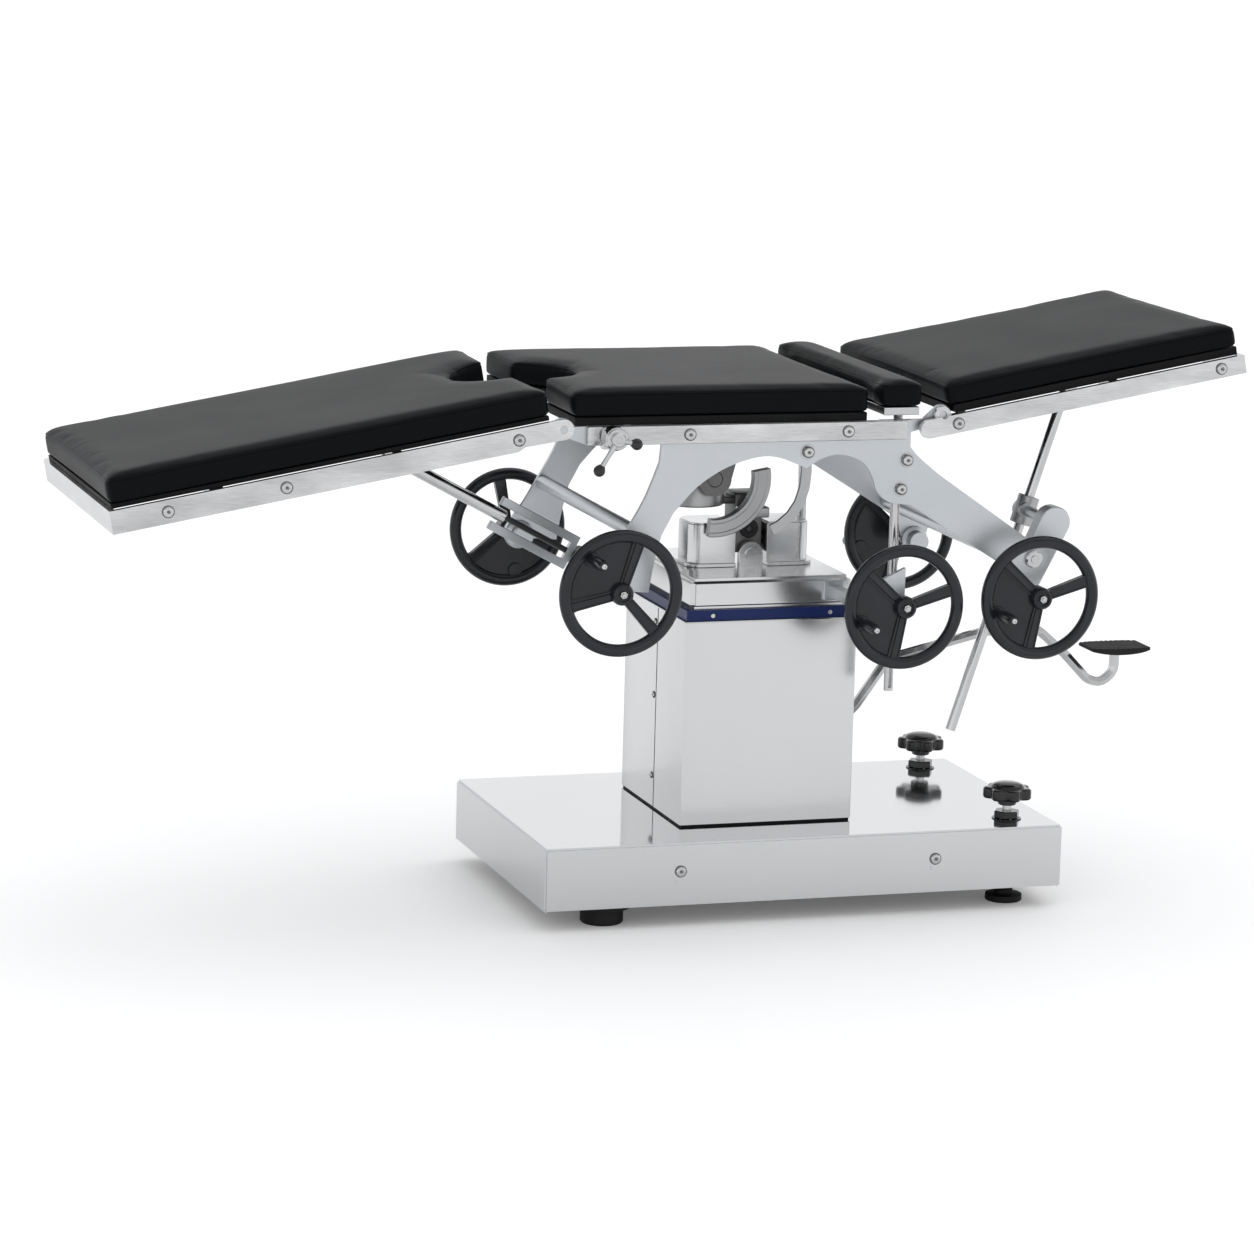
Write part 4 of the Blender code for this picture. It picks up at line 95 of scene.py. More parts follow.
# Handwheels
WHEEL_RADIUS = 0.0925
RIM_RADIUS = 0.0092
RIM_SIDES = 120
RIM_SECTION_SIDES = 22
HUB_RADIUS = 0.0165
HUB_HALF = 0.017
SPOKE_WIDTH = 0.0138
SPOKE_FLARE = 1.35
SPOKE_THICKNESS = 0.0104
SPOKE_LIP = 0.0022
SPOKE_SINK = 0.0012
WEB_THICKNESS = 0.0078
WEB_LIP = 0.0042
WEB_SINK = 0.0016
WHEEL_ROUND = 0.0008
COLLAR_RADIUS = 0.013
COLLAR_LENGTH = 0.010
SHAFT_RADIUS = 0.007
PEG_DISTANCE = 0.069
PEG_LENGTH = 0.058
PEG_RADIUS = 0.0088
PEG_GAP = 0.0003

# Fittings
EDGE_ROUND = 0.0006
SEAM_WIDTH = 0.0014
SEAM_Y = -0.014
SEAM_SCREW_LEVELS = (0.176, 0.300, 0.412)
SEAM_SCREW_OFFSET = 0.011
SEAM_SCREW_RADIUS = 0.0052
LEVEL_X = 0.745
LEVEL_Y = 0.180
BASE_TOP = 0.126
TILT_AXIS = (0.305, 0.6353)
SIDE_AXIS = (0.372, 0.5363)
SECTION_TILT = radians(10.1)
LEG_AXIS = (0.012, 0.742)
BACK_AXIS = (0.595, 0.752)
RAIL_FACE = 0.243
SCREW_RADIUS = 0.0090
SEAT_SCREWS = (0.2019, 0.4449)
SEAT_SCREW_LEVEL = 0.7315
LEG_SCREWS = (-0.0679, -0.4123, -0.5841)
LEG_SCREW_DROP = -0.00175
BACK_SCREWS = (0.0193, 0.4434)
BACK_SCREW_DROP = -0.01575
PLATE_FACE = 0.2337
PLATE_BOLTS = ((0.5408, 0.6860), (0.5328, 0.6431), (0.3863, 0.7011))
PLATE_BOLT_RADIUS = 0.0085
PLATE_CAP = (0.748, 0.5331)
PLATE_CAP_RADIUS = 0.0130
PLATE_CAP_HEIGHT = 0.0062
BASE_FRONT = 0.2400
BASE_SCREWS = (0.2079, 0.6082)
BASE_SCREW_LEVEL = 0.0838
COLUMN_LEFT = 0.237
COLUMN_LENGTH = 0.270
COLUMN_DEPTH = 0.286
COLUMN_FOOT = 0.129
COLUMN_TOP = 0.436
SLEEVE_FACE = 0.1402
SLEEVE_SCREWS = (0.2802, 0.4642)
SLEEVE_SCREW_LEVEL = 0.4445
KNOB_RADIUS = 0.037
KNOB_LOBES = 7
KNOB_WAIST = 0.20
KNOB_ROUND = 0.0042
KNOB_LOW = 0.1575
KNOB_TOP = 0.1750
KNOB_TURN = radians(12)
DRUM_X = 0.291
BLOCK_HALF = 0.022
BLOCK_FACE = -0.0245
ROLLER_RISE = 0.018
SECTOR_INNER = 0.060
SECTOR_OUTER = 0.087
SECTOR_FRONT = 0.065
SECTOR_BACK = 0.049
SECTOR_LIP = 0.0011
SECTOR_GROOVE = 0.004
SECTOR_START = radians(-96)
SECTOR_TURN = radians(106)
STRAP_Y = -0.2165
STRAP_WIDTH = 0.0155
STRAP_THICKNESS = 0.006
STRAP = ((0.3790, 0.7060), (0.3835, 0.6900), (0.3845, 0.6700), (0.3825, 0.6480), (0.3755, 0.6260),
         (0.3640, 0.6090), (0.3490, 0.5965), (0.3370, 0.5905))
TREAD_DRAW = 0.22
TREAD_BELLY = 0.95
TREAD_RIB = 0.10
TREAD_RIBS = 11
TREAD_DROP = 0.16
CLAMP_AT = (0.082, 0.7315)
CLAMP_FACE = -0.2736
CLAMP_ARM_Y = -0.2790
CLAMP_HEAD_RADIUS = 0.0102
CLAMP_BALL_RADIUS = 0.0085
CLAMP_SHORT_SHARE = 0.55
CLAMP_ARM = 0.052
CLAMP_TURN = radians(238)
CLAMP_SHORT_TURN = radians(-14)


# Materials

def sockets(group, inputs, outputs):
    """Names a group's inputs and outputs and makes their two nodes."""
    for name, kind, value in inputs:
        group.interface.new_socket(name, in_out="INPUT", socket_type=kind).default_value = value
    for name, kind in outputs:
        group.interface.new_socket(name, in_out="OUTPUT", socket_type=kind)
    return group.nodes.new("NodeGroupInput"), group.nodes.new("NodeGroupOutput")


SURFACE_OUTPUTS = (("Colour", "NodeSocketColor"), ("Roughness", "NodeSocketFloat"),
                   ("Normal", "NodeSocketVector"))


def surface_group():
    """Grain and handling marks of a hard surface: two noises, each with its own stretch."""
    group = bpy.data.node_groups.new("Worn surface", "ShaderNodeTree")
    given, out = sockets(group, (
        ("Grain stretch", "NodeSocketVector", (1, 1, 1)), ("Grain scale", "NodeSocketFloat", 400.0),
        ("Grain height", "NodeSocketFloat", 0.1), ("Mark stretch", "NodeSocketVector", (1, 1, 1)),
        ("Mark scale", "NodeSocketFloat", 6.0), ("Low roughness", "NodeSocketFloat", 0.2),
        ("High roughness", "NodeSocketFloat", 0.3), ("Colour", "NodeSocketColor", (0.5, 0.5, 0.5, 1)),
        ("Worn colour", "NodeSocketColor", (0.6, 0.6, 0.6, 1))), SURFACE_OUTPUTS)
    n, link = group.nodes, group.links.new
    place = n.new("ShaderNodeTexCoord")
    fields = []
    for name, detail in (("Grain", 3.0), ("Mark", 5.0)):
        stretch = n.new("ShaderNodeVectorMath")
        stretch.operation = "MULTIPLY"
        link(place.outputs["Object"], stretch.inputs[0])
        link(given.outputs[name + " stretch"], stretch.inputs[1])
        field = n.new("ShaderNodeTexNoise")
        field.inputs["Detail"].default_value = detail
        field.inputs["Distortion"].default_value = 0.3
        link(stretch.outputs[0], field.inputs["Vector"])
        link(given.outputs[name + " scale"], field.inputs["Scale"])
        fields.append(field)
    grain, mark = fields
    part = n.new("ShaderNodeMath")
    part.operation = "MULTIPLY"
    part.inputs[1].default_value = 0.35
    link(grain.outputs["Fac"], part.inputs[0])
    both = n.new("ShaderNodeMath")
    both.operation = "MULTIPLY_ADD"
    both.inputs[1].default_value = 0.65
    link(mark.outputs["Fac"], both.inputs[0])
    link(part.outputs[0], both.inputs[2])
    spread = n.new("ShaderNodeMapRange")
    spread.inputs["From Min"].default_value = 0.34
    spread.inputs["From Max"].default_value = 0.66
    link(both.outputs[0], spread.inputs["Value"])
    rough = n.new("ShaderNodeMix")
    rough.data_type = "FLOAT"
    link(spread.outputs["Result"], rough.inputs["Factor"])
    link(given.outputs["Low roughness"], rough.inputs["A"])
    link(given.outputs["High roughness"], rough.inputs["B"])
    link(rough.outputs["Result"], out.inputs["Roughness"])
    tint = n.new("ShaderNodeMix")
    tint.data_type = "RGBA"
    link(spread.outputs["Result"], tint.inputs["Factor"])
    link(given.outputs["Colour"], tint.inputs["A"])
    link(given.outputs["Worn colour"], tint.inputs["B"])
    link(tint.outputs["Result"], out.inputs["Colour"])
    bump = n.new("ShaderNodeBump")
    bump.inputs["Distance"].default_value = 0.0002
    link(given.outputs["Grain height"], bump.inputs["Strength"])
    link(grain.outputs["Fac"], bump.inputs["Height"])
    link(bump.outputs["Normal"], out.inputs["Normal"])
    return group


def upholstery_group():
    """Pebbled grain of a coated cover, with broad soft unevenness."""
    group = bpy.data.node_groups.new("Upholstery grain", "ShaderNodeTree")
    given, out = sockets(group, (
        ("Pebble scale", "NodeSocketFloat", 900.0), ("Pebble height", "NodeSocketFloat", 0.25),
        ("Broad scale", "NodeSocketFloat", 9.0), ("Low roughness", "NodeSocketFloat", 0.4),
        ("High roughness", "NodeSocketFloat", 0.5), ("Colour", "NodeSocketColor", (0.01, 0.01, 0.01, 1)),
        ("Worn colour", "NodeSocketColor", (0.01, 0.01, 0.01, 1))), SURFACE_OUTPUTS)
    n, link = group.nodes, group.links.new
    place = n.new("ShaderNodeTexCoord")
    cells = n.new("ShaderNodeTexVoronoi")
    cells.feature = "SMOOTH_F1"
    link(place.outputs["Object"], cells.inputs["Vector"])
    link(given.outputs["Pebble scale"], cells.inputs["Scale"])
    broad = n.new("ShaderNodeTexNoise")
    broad.inputs["Detail"].default_value = 3.0
    link(place.outputs["Object"], broad.inputs["Vector"])
    link(given.outputs["Broad scale"], broad.inputs["Scale"])
    rough = n.new("ShaderNodeMix")
    rough.data_type = "FLOAT"
    link(broad.outputs["Fac"], rough.inputs["Factor"])
    link(given.outputs["Low roughness"], rough.inputs["A"])
    link(given.outputs["High roughness"], rough.inputs["B"])
    link(rough.outputs["Result"], out.inputs["Roughness"])
    tint = n.new("ShaderNodeMix")
    tint.data_type = "RGBA"
    link(cells.outputs["Distance"], tint.inputs["Factor"])
    link(given.outputs["Worn colour"], tint.inputs["A"])
    link(given.outputs["Colour"], tint.inputs["B"])
    link(tint.outputs["Result"], out.inputs["Colour"])
    wave = n.new("ShaderNodeBump")
    wave.inputs["Strength"].default_value = 0.10
    wave.inputs["Distance"].default_value = 0.004
    link(broad.outputs["Fac"], wave.inputs["Height"])
    pebble = n.new("ShaderNodeBump")
    pebble.invert = True
    pebble.inputs["Distance"].default_value = 0.0002
    link(given.outputs["Pebble height"], pebble.inputs["Strength"])
    link(cells.outputs["Distance"], pebble.inputs["Height"])
    link(wave.outputs["Normal"], pebble.inputs["Normal"])
    link(pebble.outputs["Normal"], out.inputs["Normal"])
    return group


def finish(name, group, settings, metallic=0.0, specular=0.5, coat=0.0):
    """A material: one of the groups with its own values, and the shader's fixed values on the shader."""
    made = bpy.data.materials.new(name)
    made.use_nodes = True
    n, link = made.node_tree.nodes, made.node_tree.links.new
    shader = n["Principled BSDF"]
    effect = n.new("ShaderNodeGroup")
    effect.node_tree = group
    for socket, value in settings.items():
        effect.inputs[socket].default_value = (*value, 1) if "olour" in socket else value
    link(effect.outputs["Colour"], shader.inputs["Base Color"])
    link(effect.outputs["Roughness"], shader.inputs["Roughness"])
    link(effect.outputs["Normal"], shader.inputs["Normal"])
    shader.inputs["Metallic"].default_value = metallic
    shader.inputs["Specular IOR Level"].default_value = specular
    shader.inputs["Coat Weight"].default_value = coat
    shader.inputs["Coat Roughness"].default_value = 0.12
    return made


def hard(name, colour, worn, rough, grain, height, mark, metallic=0.0, specular=0.5, coat=0.0,
         grain_stretch=(1, 1, 1), mark_stretch=(1, 1, 1)):
    """A hard finish: two colours, a pair of roughnesses, and how fine and deep its grain and marks are."""
    return finish(name, SURFACE, {
        "Colour": colour, "Worn colour": worn, "Low roughness": rough[0], "High roughness": rough[1],
        "Grain scale": grain, "Grain height": height, "Grain stretch": grain_stretch, "Mark scale": mark,
        "Mark stretch": mark_stretch}, metallic, specular, coat)


SURFACE = surface_group()
UPHOLSTERY = upholstery_group()
BRUSHED = hard("Brushed stainless sheet", (0.62, 0.625, 0.63), (0.67, 0.675, 0.68), (0.18, 0.25), 900.0,
               0.05, 2.2, 1.0, grain_stretch=(0.04, 0.04, 1.0))
MIRROR = hard("Bright stainless sheet", (0.60, 0.61, 0.62), (0.65, 0.66, 0.67), (0.06, 0.11), 900.0,
              0.02, 2.0, 1.0)
RAIL = hard("Bright drawn bar", (0.45, 0.455, 0.46), (0.72, 0.72, 0.72), (0.12, 0.30), 700.0, 0.08, 9.0, 1.0,
            grain_stretch=(0.06, 1.0, 1.0), mark_stretch=(0.8, 1.0, 3.0))
POLISHED = hard("Polished steel", (0.47, 0.475, 0.48), (0.60, 0.60, 0.60), (0.08, 0.17), 500.0, 0.03,
                9.0, 1.0)
SATIN = hard("Satin blasted steel", (0.50, 0.525, 0.545), (0.57, 0.59, 0.61), (0.32, 0.42), 1500.0,
             0.22, 6.0, 1.0)
CASTING = hard("Satin casting", (0.34, 0.345, 0.35), (0.46, 0.465, 0.47), (0.30, 0.44), 600.0, 0.30,
               10.0, 1.0)
DARK = hard("Dark casting", (0.12, 0.12, 0.122), (0.20, 0.198, 0.195), (0.34, 0.50), 420.0, 0.35, 12.0, 0.8)
BLACKENED = hard("Blackened steel", (0.012, 0.012, 0.014), (0.040, 0.040, 0.042), (0.28, 0.42), 600.0,
                 0.15, 15.0, 0.6)
NAVY = hard("Navy paint", (0.006, 0.016, 0.088), (0.009, 0.021, 0.105), (0.28, 0.36), 500.0, 0.06, 8.0,
            specular=0.2)
PLASTIC = hard("Black moulded plastic", (0.009, 0.010, 0.013), (0.014, 0.016, 0.020), (0.15, 0.26), 1100.0,
               0.14, 20.0, specular=0.38)
GLOSSY = hard("Black glossy plastic", (0.006, 0.006, 0.007), (0.010, 0.010, 0.011), (0.10, 0.18), 900.0,
              0.05, 20.0, specular=0.35, coat=0.3)
RUBBER = hard("Black rubber", (0.008, 0.008, 0.008), (0.018, 0.018, 0.018), (0.55, 0.75), 700.0, 0.30, 12.0,
              specular=0.2)
LAMINATE = hard("Black laminate edge", (0.005, 0.005, 0.006), (0.012, 0.012, 0.012), (0.45, 0.60), 500.0,
                0.20, 12.0, specular=0.1, grain_stretch=(1, 1, 0.2))
COVER = finish("Black upholstery", UPHOLSTERY, {
    "Colour": (0.0026, 0.0032, 0.0042), "Worn colour": (0.0045, 0.0053, 0.0066), "Low roughness": 0.34,
    "High roughness": 0.42, "Pebble scale": 1100.0, "Pebble height": 0.22, "Broad scale": 7.0}, specular=0.05)

LOOKS = {
    MIRROR: ("base_cover",),
    BRUSHED: ("column_cover_near", "column_cover_far", "head_lid", "tower_left", "tower_right"),
    RAIL: ("seat_rail_near", "seat_rail_far", "leg_rail", "back_rail"),
    POLISHED: ("clamp_body", "pedal_lever", "leg_prop_tube", "back_prop_rod", "bridge_carrier"),
    SATIN: ("side_plate_near", "side_plate_far", "back_hinge_near", "back_hinge_far", "cross_tube_left",
            "cross_tube_right", "mid_wheel_arm", "bridge_guide_near", "bridge_guide_far", "gear_case_leg",
            "gear_case_back", "leg_prop_yoke", "pedal_bracket"),
    DARK: ("base_chassis", "seat_saddle"),
    CASTING: ("back_prop_nut",),
    BLACKENED: ("leg_prop_screw",),
    NAVY: ("lift_sleeve",),
    RUBBER: ("foot_near", "foot_far", "level_foot_near", "level_foot_far"),
    LAMINATE: ("seat_board", "leg_board", "back_board"),
}


def dress(name, look):
    """A CAD node keeps its shape: it gets its material, rounded edges and smooth shading."""
    thing = nodes[name]
    for slot in thing.material_slots:
        slot.material = look
    mesh = thing.data
    if "custom_normal" in mesh.attributes:
        mesh.attributes.remove(mesh.attributes["custom_normal"])
    mesh.polygons.foreach_set("use_smooth", [True] * len(mesh.polygons))
    weld = thing.modifiers.new("Weld", "WELD")
    weld.merge_threshold = 0.00001
    flat = thing.modifiers.new("Flat faces", "DECIMATE")
    flat.decimate_type = "DISSOLVE"
    flat.angle_limit = radians(1.0)
    round_edges(thing, EDGE_ROUND)


def round_edges(thing, width):
    """A small live bevel along the sharp edges."""
    edge = thing.modifiers.new("Edges", "BEVEL")
    edge.width = width
    edge.segments = 2
    edge.limit_method = "ANGLE"
    edge.angle_limit = radians(32)
    edge.harden_normals = True
    edge.use_clamp_overlap = True


# Making shapes

def at(x, y, z):
    """A place measured from the base's left end."""
    return Vector((x + BASE_END, y, z))


def standing(place, direction):
    """The frame in which Z runs along a direction from a place."""
    return Matrix.Translation(Vector(place)) @ Vector(direction).to_track_quat("Z", "Y").to_matrix().to_4x4()


def lathe(profile, sides, turn=2 * pi):
    """Spins pairs of radius and height about Z. A closed body starts and ends on the axis."""
    bm = bmesh.new()
    verts = [bm.verts.new((radius, 0, height)) for radius, height in profile]
    edges = [bm.edges.new(pair) for pair in zip(verts, verts[1:])]
    bmesh.ops.spin(bm, geom=verts + edges, cent=(0, 0, 0), axis=(0, 0, 1), angle=turn, steps=sides,
                   use_merge=turn == 2 * pi)
    bmesh.ops.remove_doubles(bm, verts=bm.verts, dist=0.000001)
    bmesh.ops.recalc_face_normals(bm, faces=bm.faces)
    return bm


def block(low, high, rounding, segments=3):
    """A box between two corners, with rounded edges."""
    bm = bmesh.new()
    bmesh.ops.create_cube(bm, size=1)
    low, high = Vector(low), Vector(high)
    fit = Matrix.Translation((low + high) / 2) @ Matrix.Diagonal((*(high - low), 1))
    bmesh.ops.transform(bm, matrix=fit, verts=bm.verts)
    bmesh.ops.bevel(bm, geom=bm.edges, offset=rounding, offset_type="OFFSET", segments=segments, profile=0.5,
                    affect="EDGES", material=-1, clamp_overlap=True)
    return bm


def raise_faces(bm, way):
    """Extrudes all the faces along a vector into a closed body."""
    raised = bmesh.ops.extrude_face_region(bm, geom=bm.faces[:])["geom"]
    bmesh.ops.translate(bm, vec=way, verts=[v for v in raised if isinstance(v, bmesh.types.BMVert)])


def swept_section(points, turn, steps):
    """A closed section in the XZ plane, spun part of a turn about Z, with both ends filled."""
    bm = bmesh.new()
    verts = [bm.verts.new((x, 0, z)) for x, z in points]
    edges = [bm.edges.new(pair) for pair in zip(verts, verts[1:] + verts[:1])]
    bmesh.ops.spin(bm, geom=verts + edges, cent=(0, 0, 0), axis=(0, 0, 1), angle=turn, steps=steps,
                   use_merge=False)
    bmesh.ops.holes_fill(bm, edges=[e for e in bm.edges if e.is_boundary], sides=0)
    bmesh.ops.recalc_face_normals(bm, faces=bm.faces)
    return bm


def add(bm, part, place=Matrix(), look=0):
    """Puts a finished shape into a piece's mesh, in its place and with one of the piece's materials."""
    bmesh.ops.transform(part, matrix=place, verts=part.verts)
    for face in part.faces:
        face.material_index = look
    mesh = bpy.data.meshes.new("shape")
    part.to_mesh(mesh)
    part.free()
    bm.from_mesh(mesh)
    bpy.data.meshes.remove(mesh)


def piece(name, bm, looks, node, replaced=(), rounding=0.0):
    """A mesh becomes a piece that rides with a node, takes its finish slot, and may stand for nodes."""
    mesh = bpy.data.meshes.new(name)
    bm.to_mesh(mesh)
    bm.free()
    for look in looks:
        mesh.materials.append(look)
    mesh.polygons.foreach_set("use_smooth", [True] * len(mesh.polygons))
    mesh.set_sharp_from_angle(angle=radians(35))
    made = bpy.data.objects.new(name, mesh)
    bpy.context.collection.objects.link(made)
    if rounding:
        round_edges(made, rounding)
    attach(made, body_of[node])
    if replaced:
        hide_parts(*replaced)
    return made


def wire_loop(name, points, radius, look, node):
    """A closed round cord along a loop of points, such as the welt of a cushion."""
    curve = bpy.data.curves.new(name, "CURVE")
    curve.dimensions = "3D"
    curve.bevel_depth = radius
    curve.bevel_resolution = 3
    spline = curve.splines.new("POLY")
    spline.points.add(len(points) - 1)
    for spot, place in zip(spline.points, points):
        spot.co = (*place, 1)
    spline.use_cyclic_u = True
    maker = bpy.data.objects.new(name + "_line", curve)
    mesh = bpy.data.meshes.new_from_object(maker)
    bpy.data.objects.remove(maker)
    bm = bmesh.new()
    bm.from_mesh(mesh)
    bmesh.ops.recalc_face_normals(bm, faces=bm.faces)
    return piece(name, bm, [look], node)


# Cushions

def section_turn(node):
    """How far a node's section is turned from level at rest."""
    return Matrix.Rotation(-SECTION_TILT if body_of[node] in ("leg", "back") else 0.0, 4, "Y")


def cushion_outline(node, turn):
    """The levelled cushion's outline near half its height, as an ordered loop, and its two end levels."""
    bm = bmesh.new()
    bm.from_mesh(nodes[node].data)
    bmesh.ops.transform(bm, matrix=turn.inverted(), verts=bm.verts)
    bmesh.ops.remove_doubles(bm, verts=bm.verts, dist=0.00001)
    levels = [v.co.z for v in bm.verts]
    low, high = min(levels), max(levels)
    cut = bmesh.ops.bisect_plane(bm, geom=bm.verts[:] + bm.edges[:] + bm.faces[:], dist=0.000001,
                                 plane_co=UP * (low + (high - low) * CUSHION_CUT_SHARE), plane_no=UP)
    edges = [e for e in cut["geom_cut"] if isinstance(e, bmesh.types.BMEdge)]
    joined = {}
    for e in edges:
        for v in e.verts:
            joined.setdefault(v, []).append(e.other_vert(v))
    loop = [edges[0].verts[0]]
    came_from = None
    while True:
        ahead = [v for v in joined[loop[-1]] if v is not came_from]
        came_from = loop[-1]
        if ahead[0] is loop[0]:
            break
        loop.append(ahead[0])
    points = [v.co.copy() for v in loop]
    bm.free()
    return points, low, high


def even_loop(points, step):
    """The same loop with points a step apart."""
    out = []
    for here, ahead in zip(points, points[1:] + points[:1]):
        count = max(1, round((ahead - here).length / step))
        out += [here.lerp(ahead, k / count) for k in range(count)]
    return out


def inset_loop(points, distance):
    """The level loop drawn in by a distance, corner by corner."""
    centre = sum(points, Vector()) / len(points)
    area = sum((p - centre).cross(q - centre).z for p, q in zip(points, points[1:] + points[:1]))
    turn = 1 if area > 0 else -1
    out = []
    for before, here, ahead in zip(points[-1:] + points[:-1], points, points[1:] + points[:1]):
        first = UP.cross(here - before).normalized()
        second = UP.cross(ahead - here).normalized()
        side = (first + second).normalized()
        out.append(here + side * (turn * distance / max(0.5, side.dot(first))))
    return out


def cushion(node):
    """A stuffed cover: the outline raised to a crisp pad, blown up as cloth, capped, and sewn along its top.

    It is made level, so that its straight edges lie along the voxels, and turned with its section last.
    """
    turn = section_turn(node)
    outline, low, high = cushion_outline(node, turn)
    bm = bmesh.new()
    start = inset_loop(outline, CUSHION_START_INSET)
    level = start[0].z
    bm.faces.new([bm.verts.new(p + UP * (low - level + CUSHION_START_INSET)) for p in start])
    raise_faces(bm, UP * (high - low - CUSHION_CROWN - CUSHION_START_INSET * 2))
    bmesh.ops.recalc_face_normals(bm, faces=bm.faces)
    for sign, rounding in ((1, CUSHION_TOP_ROUND), (-1, CUSHION_BOTTOM_ROUND)):
        cap = [f for f in bm.faces if f.normal.z * sign > 0.99]
        edges = [e for f in cap for e in f.edges]
        bmesh.ops.bevel(bm, geom=edges, offset=rounding, offset_type="OFFSET", segments=4, profile=0.5,
                        affect="EDGES", material=-1, clamp_overlap=True)
    pad = piece("pad_" + node, bm, [COVER], node)
    remesh = pad.modifiers.new("Voxels", "REMESH")
    remesh.mode = "VOXEL"
    remesh.voxel_size = CUSHION_VOXEL
    bake(pad)
    shape = [v.co.copy() for v in pad.data.vertices]
    facing = [v.normal.z for v in pad.data.vertices]
    blow_up(pad)
    for v, before, flat in zip(pad.data.vertices, shape, facing):
        move = v.co - before
        if flat < -0.5:
            move = Vector()
        most = (CUSHION_SWELL if flat > 0.5 else CUSHION_SIDE_SWELL) + CUSHION_START_INSET
        if move.length > most:
            move = move.normalized() * most
        v.co = before + move
    bm = bmesh.new()
    bm.from_mesh(pad.data)
    for step in range(CUSHION_SMOOTHINGS):
        bmesh.ops.smooth_vert(bm, verts=bm.verts, factor=CUSHION_SMOOTH_FACTOR, use_axis_x=True,
                              use_axis_y=True, use_axis_z=True)
    bm.to_mesh(pad.data)
    bm.free()
    finer = pad.modifiers.new("Finer", "SUBSURF")
    finer.levels = finer.render_levels = 1
    bake(pad)
    pad.data.polygons.foreach_set("use_smooth", [True] * len(pad.data.polygons))
    cord = welt_line(pad, outline, high - CUSHION_CROWN)
    pad.data.transform(turn)
    wire_loop("welt_" + node, [turn @ p for p in cord], WELT_RADIUS, COVER, node)
    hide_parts(node)


def blow_up(pad):
    """Cloth with pressure inside it, and no gravity, applied to the mesh."""
    cloth = pad.modifiers.new("Cloth", "CLOTH")
    cloth.settings.use_pressure = True
    cloth.settings.uniform_pressure_force = CUSHION_PRESSURE
    cloth.settings.effector_weights.gravity = 0.0
    cloth.settings.quality = CUSHION_QUALITY
    cloth.point_cache.frame_start = 1
    cloth.point_cache.frame_end = CUSHION_FRAMES
    for step in range(1, CUSHION_FRAMES + 1):
        bpy.context.scene.frame_set(step)
    bake(pad)
    bpy.context.scene.frame_set(1)


def welt_line(pad, outline, level):
    """The line of the sewn edge, laid on the pad's surface just inside its upper edge."""
    bm = bmesh.new()
    bm.from_mesh(pad.data)
    tree = BVHTree.FromBMesh(bm)
    bm.free()
    points = []
    for p in even_loop(inset_loop(outline, WELT_INSET), WELT_STEP):
        points.append(tree.find_nearest(Vector((p.x, p.y, level - WELT_INSET)))[0])
    neighbours = zip(points[-1:] + points[:-1], points, points[1:] + points[:1])
    return [(before + here * 2 + ahead) / 4 for before, here, ahead in neighbours]


def bake(thing):
    """Applies a piece's modifiers to its mesh."""
    graph = bpy.context.evaluated_depsgraph_get()
    made = bpy.data.meshes.new_from_object(thing.evaluated_get(graph))
    thing.modifiers.clear()
    thing.data = made


# Handwheels

def wheel_frame(name, side):
    """Z out of the wheel's face, X towards its grip."""
    centre, grip_at = Vector(joints["wheel_" + name]["pos_m"]), Vector(joints["peg_" + name]["pos_m"])
    out = Vector((0, side, 0))
    along = Vector((grip_at.x - centre.x, 0, grip_at.z - centre.z)).normalized()
    turn = Matrix((along, out.cross(along), out)).transposed().to_4x4()
    return Matrix.Translation(centre) @ turn


def rim():
    """A round section spun into a ring."""
    bm = bmesh.new()
    bmesh.ops.create_circle(bm, segments=RIM_SECTION_SIDES, radius=RIM_RADIUS)
    stand = Matrix.Translation((WHEEL_RADIUS - RIM_RADIUS, 0, 0)) @ Matrix.Rotation(pi / 2, 4, "X")
    bmesh.ops.transform(bm, matrix=stand, verts=bm.verts)
    bmesh.ops.spin(bm, geom=bm.verts[:] + bm.edges[:], cent=(0, 0, 0), axis=(0, 0, 1), angle=2 * pi,
                   steps=RIM_SIDES, use_merge=True)
    bmesh.ops.remove_doubles(bm, verts=bm.verts, dist=0.000001)
    bmesh.ops.recalc_face_normals(bm, faces=bm.faces)
    return bm


def sunk(bm, lip, depth):
    """Sinks both broad faces of a flat shape, leaving a raised lip."""
    for sign in (1, -1):
        field = [f for f in bm.faces if f.normal.z * sign > 0.99]
        bmesh.ops.inset_region(bm, faces=field, thickness=lip, depth=0, use_boundary=True,
                               use_even_offset=True)
        bmesh.ops.inset_region(bm, faces=field, thickness=depth / 2, depth=-depth, use_boundary=True,
                               use_even_offset=True)


def spoke(angle):
    """A bar that flares into the rim, sunk between its two edges."""
    bm = bmesh.new()
    bmesh.ops.create_cube(bm, size=1)
    reach = WHEEL_RADIUS - RIM_RADIUS
    fit = Matrix.Translation((reach / 2, 0, 0)) @ Matrix.Diagonal((reach, SPOKE_WIDTH, SPOKE_THICKNESS, 1))
    bmesh.ops.transform(bm, matrix=fit, verts=bm.verts)
    for v in bm.verts:
        if v.co.x > reach / 2:
            v.co.y *= SPOKE_FLARE
    sunk(bm, SPOKE_LIP, SPOKE_SINK)
    bmesh.ops.rotate(bm, matrix=Matrix.Rotation(angle, 3, "Z"), verts=bm.verts)
    return bm


